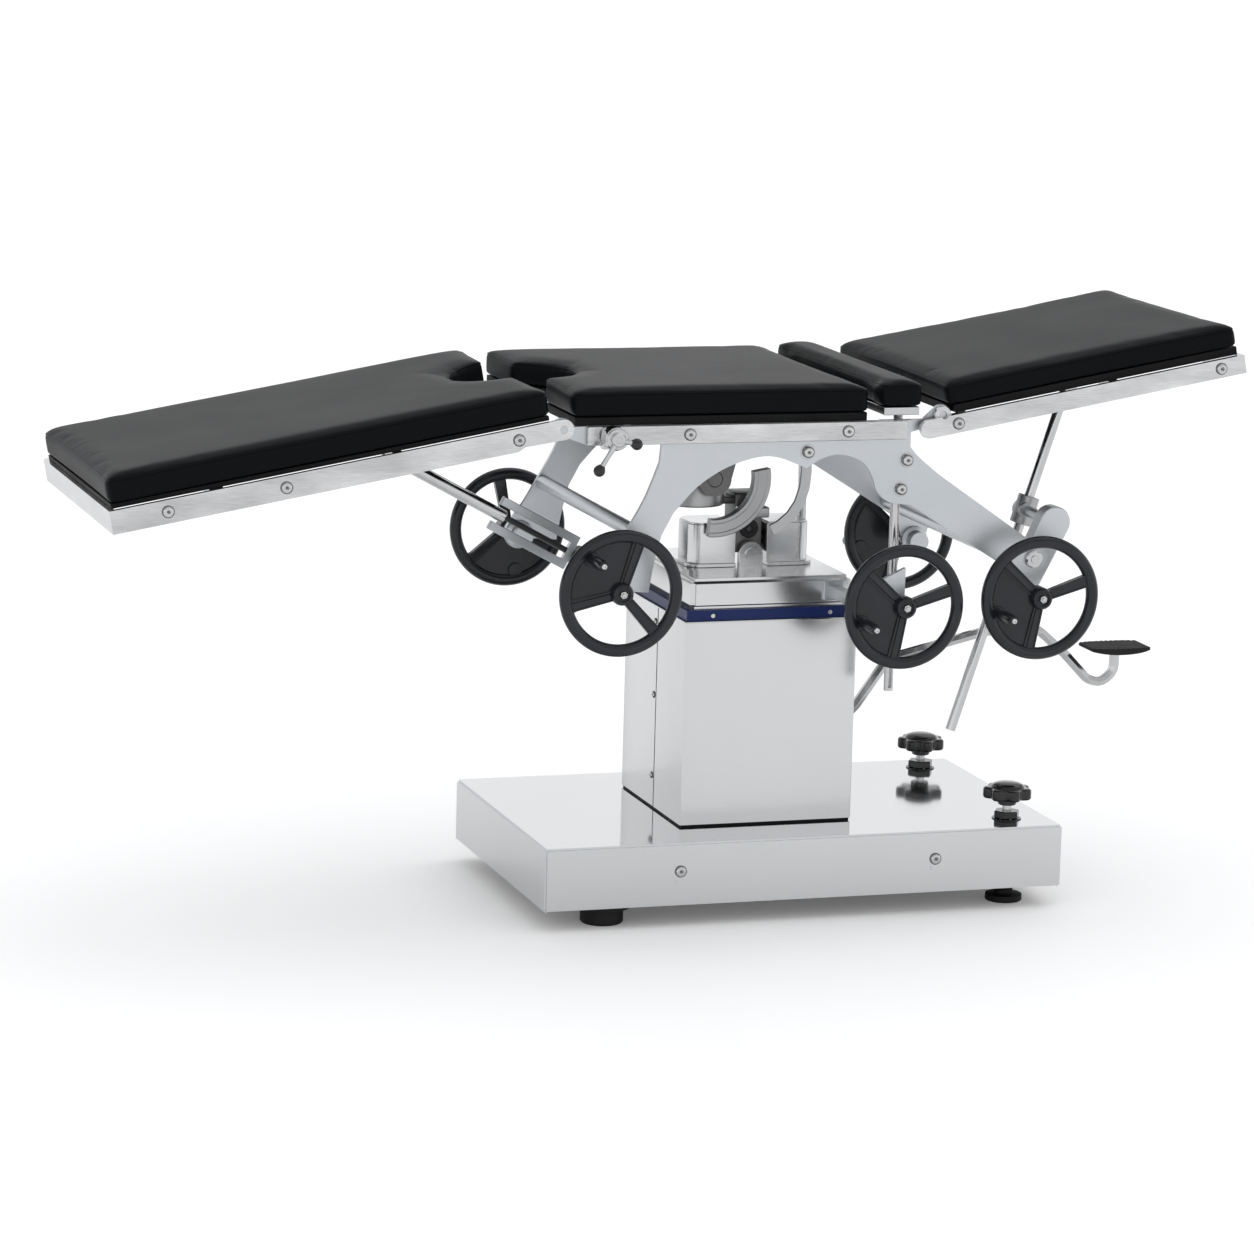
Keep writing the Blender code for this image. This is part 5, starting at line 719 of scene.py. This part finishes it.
def web():
    """The panel round the grip: a sheet spun between two spokes, given its thickness and sunk."""
    bm = bmesh.new()
    ends = [bm.verts.new((HUB_RADIUS / 2, 0, 0)), bm.verts.new((WHEEL_RADIUS - RIM_RADIUS, 0, 0))]
    line = bm.edges.new(ends)
    bmesh.ops.rotate(bm, matrix=Matrix.Rotation(-pi / 3, 3, "Z"), verts=ends)
    bmesh.ops.spin(bm, geom=[*ends, line], cent=(0, 0, 0), axis=(0, 0, 1), angle=2 * pi / 3, steps=24,
                   use_merge=False)
    raise_faces(bm, UP * WEB_THICKNESS)
    bmesh.ops.translate(bm, vec=(0, 0, -WEB_THICKNESS / 2), verts=bm.verts)
    bmesh.ops.recalc_face_normals(bm, faces=bm.faces)
    sunk(bm, WEB_LIP, WEB_SINK)
    return bm


def handwheel(name, side):
    """Rim, spokes, web, hub, nut and grip boss in plastic, on a steel collar and shaft."""
    node = "handwheel_" + name
    place = wheel_frame(name, side)
    low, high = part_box(node)
    shaft = abs((high.y if side < 0 else low.y) - place.translation.y)
    bm = bmesh.new()
    add(bm, rim(), place)
    for angle in (pi / 3, pi, -pi / 3):
        add(bm, spoke(angle), place)
    add(bm, web(), place)
    r, h = HUB_RADIUS, HUB_HALF
    add(bm, lathe([(0, -h), (r * 0.92, -h), (r, -h * 0.91), (r, h * 0.45), (r * 0.97, h * 0.62),
                   (r * 0.86, h * 0.80), (r * 0.70, h * 0.86), (r * 0.62, h * 0.80), (r * 0.62, h * 0.66),
                   (0, h * 0.66)], 56), place)
    boss = Matrix.Translation((PEG_DISTANCE, 0, 0))
    t = SPOKE_THICKNESS / 2
    add(bm, lathe([(0, -t), (PEG_RADIUS * 1.2, -t), (PEG_RADIUS * 1.3, -t * 0.7), (PEG_RADIUS * 1.3, t * 0.7),
                   (PEG_RADIUS * 1.15, t), (0, t)], 36), place @ boss)
    nut = Matrix.Translation((0, 0, h * 0.66))
    add(bm, lathe([(0, 0), (r * 0.38, 0), (r * 0.38, h * 0.22), (r * 0.33, h * 0.30), (0, h * 0.30)], 6),
        place @ nut, 1)
    add(bm, lathe([(0, 0), (r * 0.19, 0), (r * 0.19, h * 0.42), (r * 0.15, h * 0.46), (0, h * 0.46)], 24),
        place @ nut, 1)
    add(bm, lathe([(0, -shaft), (SHAFT_RADIUS, -shaft), (SHAFT_RADIUS, 0), (0, 0)], 32), place, 1)
    c = COLLAR_RADIUS
    back = -h - COLLAR_LENGTH
    add(bm, lathe([(0, back), (c * 0.9, back), (c, back + c * 0.1), (c, -h - c * 0.1), (c * 0.9, -h + 0.0004),
                   (0, -h + 0.0004)], 40), place, 1)
    piece("wheel_" + name, bm, [PLASTIC, POLISHED], node, [node], WHEEL_ROUND)


def grip(name, side):
    """The turning grip: a bellied handle with a steel screw in its end."""
    node = "wheel_peg_" + name
    place = wheel_frame(name, side) @ Matrix.Translation((PEG_DISTANCE, 0, SPOKE_THICKNESS / 2 + PEG_GAP))
    r, length = PEG_RADIUS, PEG_LENGTH
    end = length * 0.985
    shares = [(0.62, 0), (0.66, 0.05), (0.80, 0.12), (0.93, 0.25), (1, 0.45), (0.99, 0.65), (0.92, 0.82),
              (0.84, 0.93), (0.72, 0.985), (0.52, 1), (0.50, 0.985)]
    belly = [(r * across, length * along) for across, along in shares]
    bm = bmesh.new()
    add(bm, lathe([(0, 0)] + belly + [(0, end)], 40), place)
    add(bm, lathe([(0, 0), (0.0042, 0), (0.0042, 0.0026), (0.0035, 0.0036), (0.0017, 0.0038),
                   (0.0015, 0.0024), (0, 0.0024)], 24), place @ Matrix.Translation((0, 0, end)), 1)
    piece("grip_" + name, bm, [PLASTIC, POLISHED], node, [node])


# Screws and bolts

def hexed(bm, limit):
    """Turns a round socket's rings into hexagons."""
    for v in bm.verts:
        r = v.co.xy.length
        if 0 < r < limit:
            angle = atan2(v.co.y, v.co.x) % (pi / 3)
            v.co.xy *= cos(pi / 6) / cos(angle - pi / 6)
    return bm


def socket_screw(bm, place, out, radius):
    """A dark washer and a button head with a hexagon socket, over the CAD's plain head; a dark hexagon on the
    socket's floor is painted shade in the recess.
    """
    r, h = radius, radius * 0.46
    spot = standing(place, out)
    add(bm, lathe([(0, 0), (r, 0), (r, h * 0.38), (r * 0.97, h * 0.44), (r * 0.93, h * 0.44),
                   (r * 0.90, h * 0.40), (0, h * 0.40)], 40), spot, 1)
    head = lathe([(0, 0), (r * 0.88, 0), (r * 0.88, h * 0.55), (r * 0.80, h * 0.82), (r * 0.62, h),
                  (r * 0.44, h * 1.04), (r * 0.38, h), (r * 0.365, h * 0.50), (0, h * 0.50)], 36)
    add(bm, hexed(head, r * 0.39), spot)
    # A dark hexagon on the socket's floor: painted shade in the recess.
    add(bm, lathe([(0, h * 0.49), (r * 0.30, h * 0.49), (r * 0.30, h * 0.53), (0, h * 0.53)], 6), spot, 1)


def hex_bolt(bm, place, out, radius):
    """A washer, a hexagon head with a turned face, and the thread's end."""
    r = radius
    spot = standing(place, out)
    for wide, straight, narrow, top, sides in ((1.25, 0.12, 1.2, 0.18, 40), (0.92, 0.52, 0.80, 0.62, 6),
                                               (0.44, 0.80, 0.36, 0.86, 24)):
        add(bm, lathe([(0, 0), (r * wide, 0), (r * wide, r * straight), (r * narrow, r * top),
                       (0, r * top)], sides), spot)


def section_place(axis, along, up, y):
    """A place on a tilted section, from its hinge."""
    turn = Matrix.Rotation(-SECTION_TILT, 3, "Y")
    return at(axis[0], y, axis[1]) + turn @ Vector((along, 0, up))


def disc(bm, place, out, radius, height, look=0, sides=32):
    """A low round head with a rounded edge."""
    edge = min(radius, height) * 0.3
    add(bm, lathe([(0, 0), (radius, 0), (radius, height - edge), (radius - edge, height),
                   (0, height)], sides), standing(place, out), look)


def rail_screws():
    """The socket screws of the two seat rails and of the two bent rail frames."""
    for name, side in (("near", -1), ("far", 1)):
        out = Vector((0, side, 0))
        bm = bmesh.new()
        for x in SEAT_SCREWS:
            socket_screw(bm, at(x, side * RAIL_FACE, SEAT_SCREW_LEVEL), out, SCREW_RADIUS)
        piece("seat_rail_screws_" + name, bm, [POLISHED, DARK], "seat_rail_" + name)
    for name, axis, places, drop in (("leg", LEG_AXIS, LEG_SCREWS, LEG_SCREW_DROP),
                                     ("back", BACK_AXIS, BACK_SCREWS, BACK_SCREW_DROP)):
        bm = bmesh.new()
        for along in places:
            for side in (-1, 1):
                place = section_place(axis, along, drop, side * RAIL_FACE)
                socket_screw(bm, place, Vector((0, side, 0)), SCREW_RADIUS)
        piece(name + "_rail_screws", bm, [POLISHED, DARK], name + "_rail")


def plate_bolts():
    """The cap screws of the side plates, and a turned cap over each wheel bearing's bolt."""
    for name, side in (("near", -1), ("far", 1)):
        out = Vector((0, side, 0))
        bm = bmesh.new()
        for x, z in PLATE_BOLTS:
            disc(bm, at(x, side * PLATE_FACE, z), out, PLATE_BOLT_RADIUS * 1.28, 0.0014)
            socket_screw(bm, at(x, side * (PLATE_FACE + 0.0036), z), out, PLATE_BOLT_RADIUS)
        x, z = PLATE_CAP
        disc(bm, at(x, side * PLATE_FACE, z), out, PLATE_CAP_RADIUS, PLATE_CAP_HEIGHT, sides=48)
        disc(bm, at(x, side * (PLATE_FACE + 0.0060), z), out, 0.0060, 0.0020)
        piece("plate_bolts_" + name, bm, [POLISHED, DARK], "side_plate_" + name)


def base_trim():
    """The screws in the base's front and back, a black strip of painted shade along the column's seam, a black
    band of painted shade at its foot, and its bright lip.
    """
    bm = bmesh.new()
    for y in (-BASE_FRONT, BASE_FRONT):
        for x in BASE_SCREWS:
            socket_screw(bm, at(x, y, BASE_SCREW_LEVEL), Vector((0, y, 0)).normalized(), SCREW_RADIUS)
    piece("base_screws", bm, [POLISHED, DARK], "base_cover")
    x = COLUMN_LEFT
    bm = bmesh.new()
    # A black strip along the narrow gap between the column's halves: painted shade of the seam.
    add(bm, block(at(x - 0.0004, SEAM_Y - SEAM_WIDTH / 2, COLUMN_FOOT),
                  at(x + 0.0006, SEAM_Y + SEAM_WIDTH / 2, COLUMN_TOP), 0.0002, 1))
    piece("column_seam", bm, [LAMINATE], "column_cover_near")
    bm = bmesh.new()
    for z in SEAM_SCREW_LEVELS:
        socket_screw(bm, at(x, SEAM_Y + SEAM_SCREW_OFFSET, z), Vector((-1, 0, 0)), SEAM_SCREW_RADIUS)
    piece("column_seam_screws", bm, [POLISHED, DARK], "column_cover_near")
    # A black band round the column's foot, where it meets the base: painted shade of the gap.
    foot = band(0.0022, COLUMN_FOOT - 0.0034, COLUMN_FOOT + 0.0004, 0.004)
    piece("column_foot_painted_shade", foot, [LAMINATE], "base_cover")
    lip = band(-0.0005, COLUMN_TOP - 0.0016, COLUMN_TOP + 0.0006, 0.0022)
    piece("column_lip", lip, [POLISHED], "column_cover_near", rounding=0.0004)


def band(inset, low, high, wall):
    """A thin upright frame round the column, drawn in from its faces."""
    bm = bmesh.new()
    bmesh.ops.create_cube(bm, size=1)
    half_x, half_y = COLUMN_LENGTH / 2 - inset, COLUMN_DEPTH / 2 - inset
    middle = at(COLUMN_LEFT + COLUMN_LENGTH / 2, 0, (low + high) / 2)
    fit = Matrix.Translation(middle) @ Matrix.Diagonal((half_x * 2, half_y * 2, high - low, 1))
    bmesh.ops.transform(bm, matrix=fit, verts=bm.verts)
    bmesh.ops.delete(bm, geom=[f for f in bm.faces if abs(f.normal.z) > 0.5], context="FACES_ONLY")
    bmesh.ops.solidify(bm, geom=bm.faces[:], thickness=wall)
    bmesh.ops.recalc_face_normals(bm, faces=bm.faces)
    return bm


def sleeve_dots():
    """The small screw heads in the sleeve's band, two on each side."""
    bm = bmesh.new()
    for y in (-SLEEVE_FACE, SLEEVE_FACE):
        for x in SLEEVE_SCREWS:
            disc(bm, at(x, y, SLEEVE_SCREW_LEVEL), Vector((0, y, 0)).normalized(), 0.0034, 0.0012, sides=24)
    piece("sleeve_screws", bm, [POLISHED], "lift_sleeve")


# Levelling

def star(radius, low, high):
    """A disc with seven round lobes, its edges rounded."""
    bm = bmesh.new()
    bmesh.ops.create_circle(bm, cap_ends=True, segments=KNOB_LOBES * 16, radius=1)
    for v in bm.verts:
        wave = 0.5 - 0.5 * cos(KNOB_LOBES * atan2(v.co.y, v.co.x))
        v.co *= radius * (1 - KNOB_WAIST * wave ** 1.4)
        v.co.z = low
    raise_faces(bm, UP * (high - low))
    bmesh.ops.recalc_face_normals(bm, faces=bm.faces)
    rims = [e for f in bm.faces if abs(f.normal.z) > 0.99 for e in f.edges]
    bmesh.ops.bevel(bm, geom=rims, offset=KNOB_ROUND, offset_type="OFFSET", segments=5, profile=0.5,
                    affect="EDGES", material=-1, clamp_overlap=True)
    return bm


def level_knob(name, side):
    """A glossy star knob on its screw, and the black lock nut and washer that it stands over."""
    place = Matrix.Translation(at(LEVEL_X, side * LEVEL_Y, 0))
    r = KNOB_RADIUS
    bm = bmesh.new()
    add(bm, star(r, KNOB_LOW, KNOB_TOP), place @ Matrix.Rotation(KNOB_TURN, 4, "Z"))
    add(bm, lathe([(0, 0.1740), (r * 0.70, 0.1740), (r * 0.68, 0.1765), (r * 0.60, 0.1795),
                   (r * 0.42, 0.1817), (r * 0.20, 0.1827), (0, 0.1829)], 64), place)
    add(bm, lathe([(0, 0.1480), (0.0128, 0.1480), (0.0140, 0.1492), (0.0140, 0.1545), (0.0165, 0.1580),
                   (0, 0.1580)], 48), place)
    add(bm, lathe([(0, 0.0243), (0.0064, 0.0243), (0.0070, 0.0250), (0.0070, 0.1485),
                   (0, 0.1485)], 32), place, 1)
    node = "level_knob_" + name
    piece("star_knob_" + name, bm, [GLOSSY, POLISHED], node, [node])
    bm = bmesh.new()
    nut = place @ Matrix.Translation((0, 0, BASE_TOP))
    add(bm, lathe([(0.0074, 0.0000), (0.0225, 0.0000), (0.0225, 0.0012), (0.0216, 0.0018), (0.0074, 0.0018),
                   (0.0074, 0.0000)], 48), nut)
    add(bm, lathe([(0.0074, 0.0016), (0.0190, 0.0016), (0.0202, 0.0028), (0.0202, 0.0114), (0.0188, 0.0128),
                   (0.0074, 0.0128), (0.0074, 0.0016)], 6), nut)
    piece("lock_nut_cap_" + name, bm, [GLOSSY], "base_cover", rounding=0.0005)


# Tilt head

def rod(radius, half, edge, sides):
    """A turned bar about Z, as long each way from its middle, with chamfered ends."""
    return lathe([(0, -half), (radius - edge, -half), (radius, edge - half), (radius, half - edge),
                  (radius - edge, half), (0, half)], sides)


def tilt_head():
    """The cradle's hub, pin, drum, block, trunnions and roller, each turned or rounded, as one piece."""
    across, along_x = Vector((0, -1, 0)), Vector((1, 0, 0))
    x, z = TILT_AXIS
    block_x, block_z = SIDE_AXIS
    bm = bmesh.new()
    add(bm, rod(0.027, 0.047, 0.0015, 64), standing(at(x, 0, z), across))
    add(bm, rod(0.012, 0.0603, 0.0012, 40), standing(at(x, 0, z), across))
    add(bm, lathe([(0, 0.5903), (0.0450, 0.5903), (0.047, 0.5923), (0.047, 0.6200), (0.0455, 0.6228),
                   (0.0430, 0.6243), (0, 0.6243)], 80), Matrix.Translation(at(DRUM_X, 0, 0)), 2)
    add(bm, block(at(DRUM_X, -0.021, 0.591), at(block_x, 0.021, 0.6016), 0.002))
    add(bm, block(at(block_x - BLOCK_HALF, -0.025, 0.5173), at(block_x + BLOCK_HALF, 0.025, 0.6073), 0.003))
    add(bm, rod(0.010, 0.073, 0.0008, 40), standing(at(block_x, 0, block_z), along_x), 1)
    roller = standing(at(block_x, BLOCK_FACE, block_z + ROLLER_RISE), across)
    add(bm, lathe([(0, 0), (0.0140, 0), (0.0145, 0.0008), (0.0145, 0.0038), (0.0135, 0.0047),
                   (0.0070, 0.0047), (0.0062, 0.0038), (0, 0.0038)], 48), roller, 3)
    add(bm, lathe([(0, 0.0030), (0.0042, 0.0030), (0.0042, 0.0050), (0.0034, 0.0057),
                   (0, 0.0057)], 6), roller, 1)
    piece("tilt_head", bm, [DARK, POLISHED, CASTING, BLACKENED], "cradle", ["cradle"])


def crescent():
    """The grooved sector: a section with a groove in its rim, swept round the tilt axis, and its carrier."""
    x, z = TILT_AXIS
    block_x = SIDE_AXIS[0]
    inner, outer, front, back, lip = SECTOR_INNER, SECTOR_OUTER, SECTOR_FRONT, SECTOR_BACK, SECTOR_LIP
    middle, groove, bed = (front + back) / 2, SECTOR_GROOVE / 2, outer - SECTOR_GROOVE
    sunk_at = front - 0.0008
    section = [(inner + lip, back), (outer - lip, back), (outer, back + lip), (outer, middle - groove),
               (bed, middle - groove), (bed, middle + groove), (outer, middle + groove),
               (outer, front - lip), (outer - lip, front), (outer - 0.006, front), (outer - 0.007, sunk_at),
               (inner + 0.007, sunk_at), (inner + 0.006, front), (inner + lip, front), (inner, front - lip),
               (inner, back + lip)]
    upright = Matrix.Translation(at(x, 0, z)) @ Matrix.Rotation(pi / 2, 4, "X")
    bm = bmesh.new()
    add(bm, swept_section(section, SECTOR_TURN, 60), upright @ Matrix.Rotation(SECTOR_START, 4, "Z"))
    add(bm, block(at(block_x - BLOCK_HALF, -0.057, 0.5746),
                  at(block_x + BLOCK_HALF, -0.0253, 0.5906), 0.0025))
    piece("crescent", bm, [CASTING], "crescent_sector", ["crescent_sector"], 0.0004)
    bm = bmesh.new()
    hex_bolt(bm, at(block_x, BLOCK_FACE, 0.5280), Vector((0, -1, 0)), 0.0058)
    piece("cradle_bolt", bm, [POLISHED], "cradle")


def guide_strap():
    """The curved strap that hangs from a bolt of the near plate, in front of the crescent."""
    bm = bmesh.new()
    line = [at(x, STRAP_Y, z) for x, z in STRAP]
    verts = [bm.verts.new(p) for p in line]
    edges = [bm.edges.new(pair) for pair in zip(verts, verts[1:])]
    ribbon = bmesh.ops.extrude_edge_only(bm, edges=edges)["geom"]
    across = {}
    for i, p in enumerate(line):
        ahead = (line[min(i + 1, len(line) - 1)] - line[max(i - 1, 0)]).normalized()
        across[p.freeze()] = ahead.cross(Vector((0, 1, 0))) * STRAP_WIDTH
    for v in ribbon:
        if isinstance(v, bmesh.types.BMVert):
            v.co += min(across.items(), key=lambda item: (item[0] - v.co).length)[1]
    raise_faces(bm, Vector((0, STRAP_THICKNESS, 0)))
    bmesh.ops.recalc_face_normals(bm, faces=bm.faces)
    piece("guide_strap", bm, [CASTING], "side_plate_near", rounding=0.0008)


def pedal_tread():
    """The pedal's rubber tread: thick in the middle, thin and drawn in at its ends, with cross ribs."""
    low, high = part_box("pedal_pad")
    middle, half = (low + high) / 2, (high - low) / 2
    bm = bmesh.new()
    bmesh.ops.create_cube(bm, size=2)
    long_edges = [e for e in bm.edges if abs(e.verts[0].co.x - e.verts[1].co.x) > 1]
    bmesh.ops.subdivide_edges(bm, edges=long_edges, cuts=23, use_grid_fill=True)
    for v in bm.verts:
        u = v.co.x
        v.co.y *= 1 - TREAD_DRAW * u ** 4
        if v.co.z < 0:
            v.co.z += TREAD_BELLY * u * u
        else:
            v.co.z += TREAD_RIB * cos(u * pi * TREAD_RIBS) - TREAD_DROP
    bmesh.ops.transform(bm, matrix=Matrix.Translation(middle) @ Matrix.Diagonal((*half, 1)), verts=bm.verts)
    bmesh.ops.recalc_face_normals(bm, faces=bm.faces)
    piece("pedal_tread", bm, [RUBBER], "pedal_pad", ["pedal_pad"], 0.0012)


# Accessory clamp

def clamp_handle():
    """The clamp screw's turned head, and its long and short tapered arms with a black ball on each."""
    x, z = CLAMP_AT
    head = standing(at(x, CLAMP_FACE, z), Vector((0, -1, 0)))
    r = CLAMP_HEAD_RADIUS
    bm = bmesh.new()
    add(bm, lathe([(0, -0.0297), (0.0055, -0.0297), (0.0055, 0.0005), (0, 0.0005)], 32), head)
    add(bm, lathe([(0, 0.0002), (0.0148, 0.0002), (0.0156, 0.0010), (0.0156, 0.0034), (0.0146, 0.0042),
                   (0, 0.0042)], 56), head)
    add(bm, lathe([(0, 0), (r * 0.92, 0), (r, 0.0010), (r, 0.0094), (r * 0.90, 0.0108), (r * 0.45, 0.0108),
                   (r * 0.40, 0.0102), (0, 0.0102)], 48), head)
    b = CLAMP_BALL_RADIUS
    for turn, length in ((CLAMP_TURN, CLAMP_ARM), (CLAMP_SHORT_TURN, CLAMP_ARM * CLAMP_SHORT_SHARE)):
        arm = standing(at(x, CLAMP_ARM_Y, z), Vector((cos(turn), 0, sin(turn))))
        reach = length - b * 0.7
        add(bm, lathe([(0, 0), (0.0046, 0), (0.0046, 0.0090), (0.0034, reach * 0.6), (0.0038, reach),
                       (0, reach)], 28), arm)
        ball = [(0, length - b), (0.0046, length - b), (b * 0.78, length - b * 0.62)]
        ball += [(b * cos(radians(a)), length + b * sin(radians(a))) for a in range(-30, 90, 12)]
        add(bm, lathe(ball + [(0, length + b)], 40), arm, 1)
    piece("clamp_handle", bm, [POLISHED, GLOSSY], "clamp_lever", ["clamp_lever"])


# Scene

def ramp(tree, low, high, low_value, high_value):
    """A smooth change of strength with the height of the view direction."""
    n, link = tree.nodes, tree.links.new
    place = n.new("ShaderNodeTexCoord")
    split = n.new("ShaderNodeSeparateXYZ")
    link(place.outputs["Generated"], split.inputs[0])
    height = n.new("ShaderNodeMapRange")
    height.interpolation_type = "SMOOTHSTEP"
    for socket, value in (("From Min", low), ("From Max", high), ("To Min", low_value),
                          ("To Max", high_value)):
        height.inputs[socket].default_value = value
    link(split.outputs["Z"], height.inputs["Value"])
    return height.outputs["Result"]


def studio():
    """A white room that dims towards its ceiling, plainer for the light it gives, and one broad soft sun."""
    world = bpy.data.worlds.new("Studio")
    bpy.context.scene.world = world
    world.use_nodes = True
    n, link = world.node_tree.nodes, world.node_tree.links.new
    ray = n.new("ShaderNodeLightPath")
    seen = ray.outputs["Is Camera Ray"]
    for other in ("Is Glossy Ray", "Is Transmission Ray"):
        either = n.new("ShaderNodeMath")
        either.operation = "MAXIMUM"
        link(seen, either.inputs[0])
        link(ray.outputs[other], either.inputs[1])
        seen = either.outputs[0]
    strength = n.new("ShaderNodeMix")
    strength.data_type = "FLOAT"
    link(seen, strength.inputs["Factor"])
    strength.inputs["A"].default_value = ROOM_LIGHT
    dimming = ramp(world.node_tree, ROOM_BRIGHT_BELOW, ROOM_DIM_ABOVE, ROOM_HORIZON, ROOM_TOP)
    link(dimming, strength.inputs["B"])
    link(strength.outputs["Result"], n["Background"].inputs["Strength"])
    n["Background"].inputs["Color"].default_value = (0.985, 0.99, 1.0, 1)
    bpy.context.scene.view_settings.view_transform = "Standard"
    lamp = bpy.data.lights.new("Sun", "SUN")
    lamp.angle = SUN_ANGLE
    lamp.energy = SUN_STRENGTH
    made = bpy.data.objects.new("Sun", lamp)
    bpy.context.collection.objects.link(made)
    made.rotation_mode = "QUATERNION"
    made.rotation_quaternion = SUN_DIRECTION.to_track_quat("-Z", "Y")


def floor():
    """A pale floor that keeps the shadow and glows a little where the camera sees it."""
    bm = bmesh.new()
    bmesh.ops.create_grid(bm, x_segments=8, y_segments=8, size=FLOOR_SIZE)
    mesh = bpy.data.meshes.new("floor")
    bm.to_mesh(mesh)
    bm.free()
    look = hard("Pale floor", (0.95, 0.95, 0.95), (0.965, 0.965, 0.965), (0.55, 0.65), 60.0, 0.02, 1.5,
                specular=0.1)
    n, link = look.node_tree.nodes, look.node_tree.links.new
    ray = n.new("ShaderNodeLightPath")
    glow = n.new("ShaderNodeMath")
    glow.operation = "MULTIPLY"
    glow.inputs[1].default_value = FLOOR_GLOW
    link(ray.outputs["Is Camera Ray"], glow.inputs[0])
    shader = n["Principled BSDF"]
    shader.inputs["Emission Color"].default_value = (1, 1, 1, 1)
    link(glow.outputs[0], shader.inputs["Emission Strength"])
    mesh.materials.append(look)
    made = bpy.data.objects.new("floor", mesh)
    bpy.context.collection.objects.link(made)


def camera():
    """The camera fitted to the photograph."""
    data = bpy.data.cameras.new("Camera")
    data.sensor_width = SENSOR
    data.lens = SENSOR * FOCAL_SHARE
    data.clip_end = 100
    made = bpy.data.objects.new("Camera", data)
    bpy.context.collection.objects.link(made)
    turn = Matrix((CAMERA_RIGHT, CAMERA_UP, CAMERA_BACK)).transposed().to_4x4()
    made.matrix_world = Matrix.Translation(CAMERA_PLACE + Vector((BASE_END, 0, 0))) @ turn
    bpy.context.scene.camera = made


def main():
    """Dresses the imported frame."""
    camera()
    studio()
    floor()
    for look, names in LOOKS.items():
        for name in names:
            dress(name, look)
    for node in ("seat_cushion", "leg_cushion", "back_cushion", "bridge_cushion"):
        cushion(node)
    for name, side in (("leg", -1), ("tilt", 1), ("side", -1), ("back", -1), ("bridge", 1)):
        handwheel(name, side)
        grip(name, side)
    for name, side in (("near", -1), ("far", 1)):
        level_knob(name, side)
    tilt_head()
    crescent()
    guide_strap()
    pedal_tread()
    clamp_handle()
    rail_screws()
    plate_bolts()
    base_trim()
    sleeve_dots()


main()
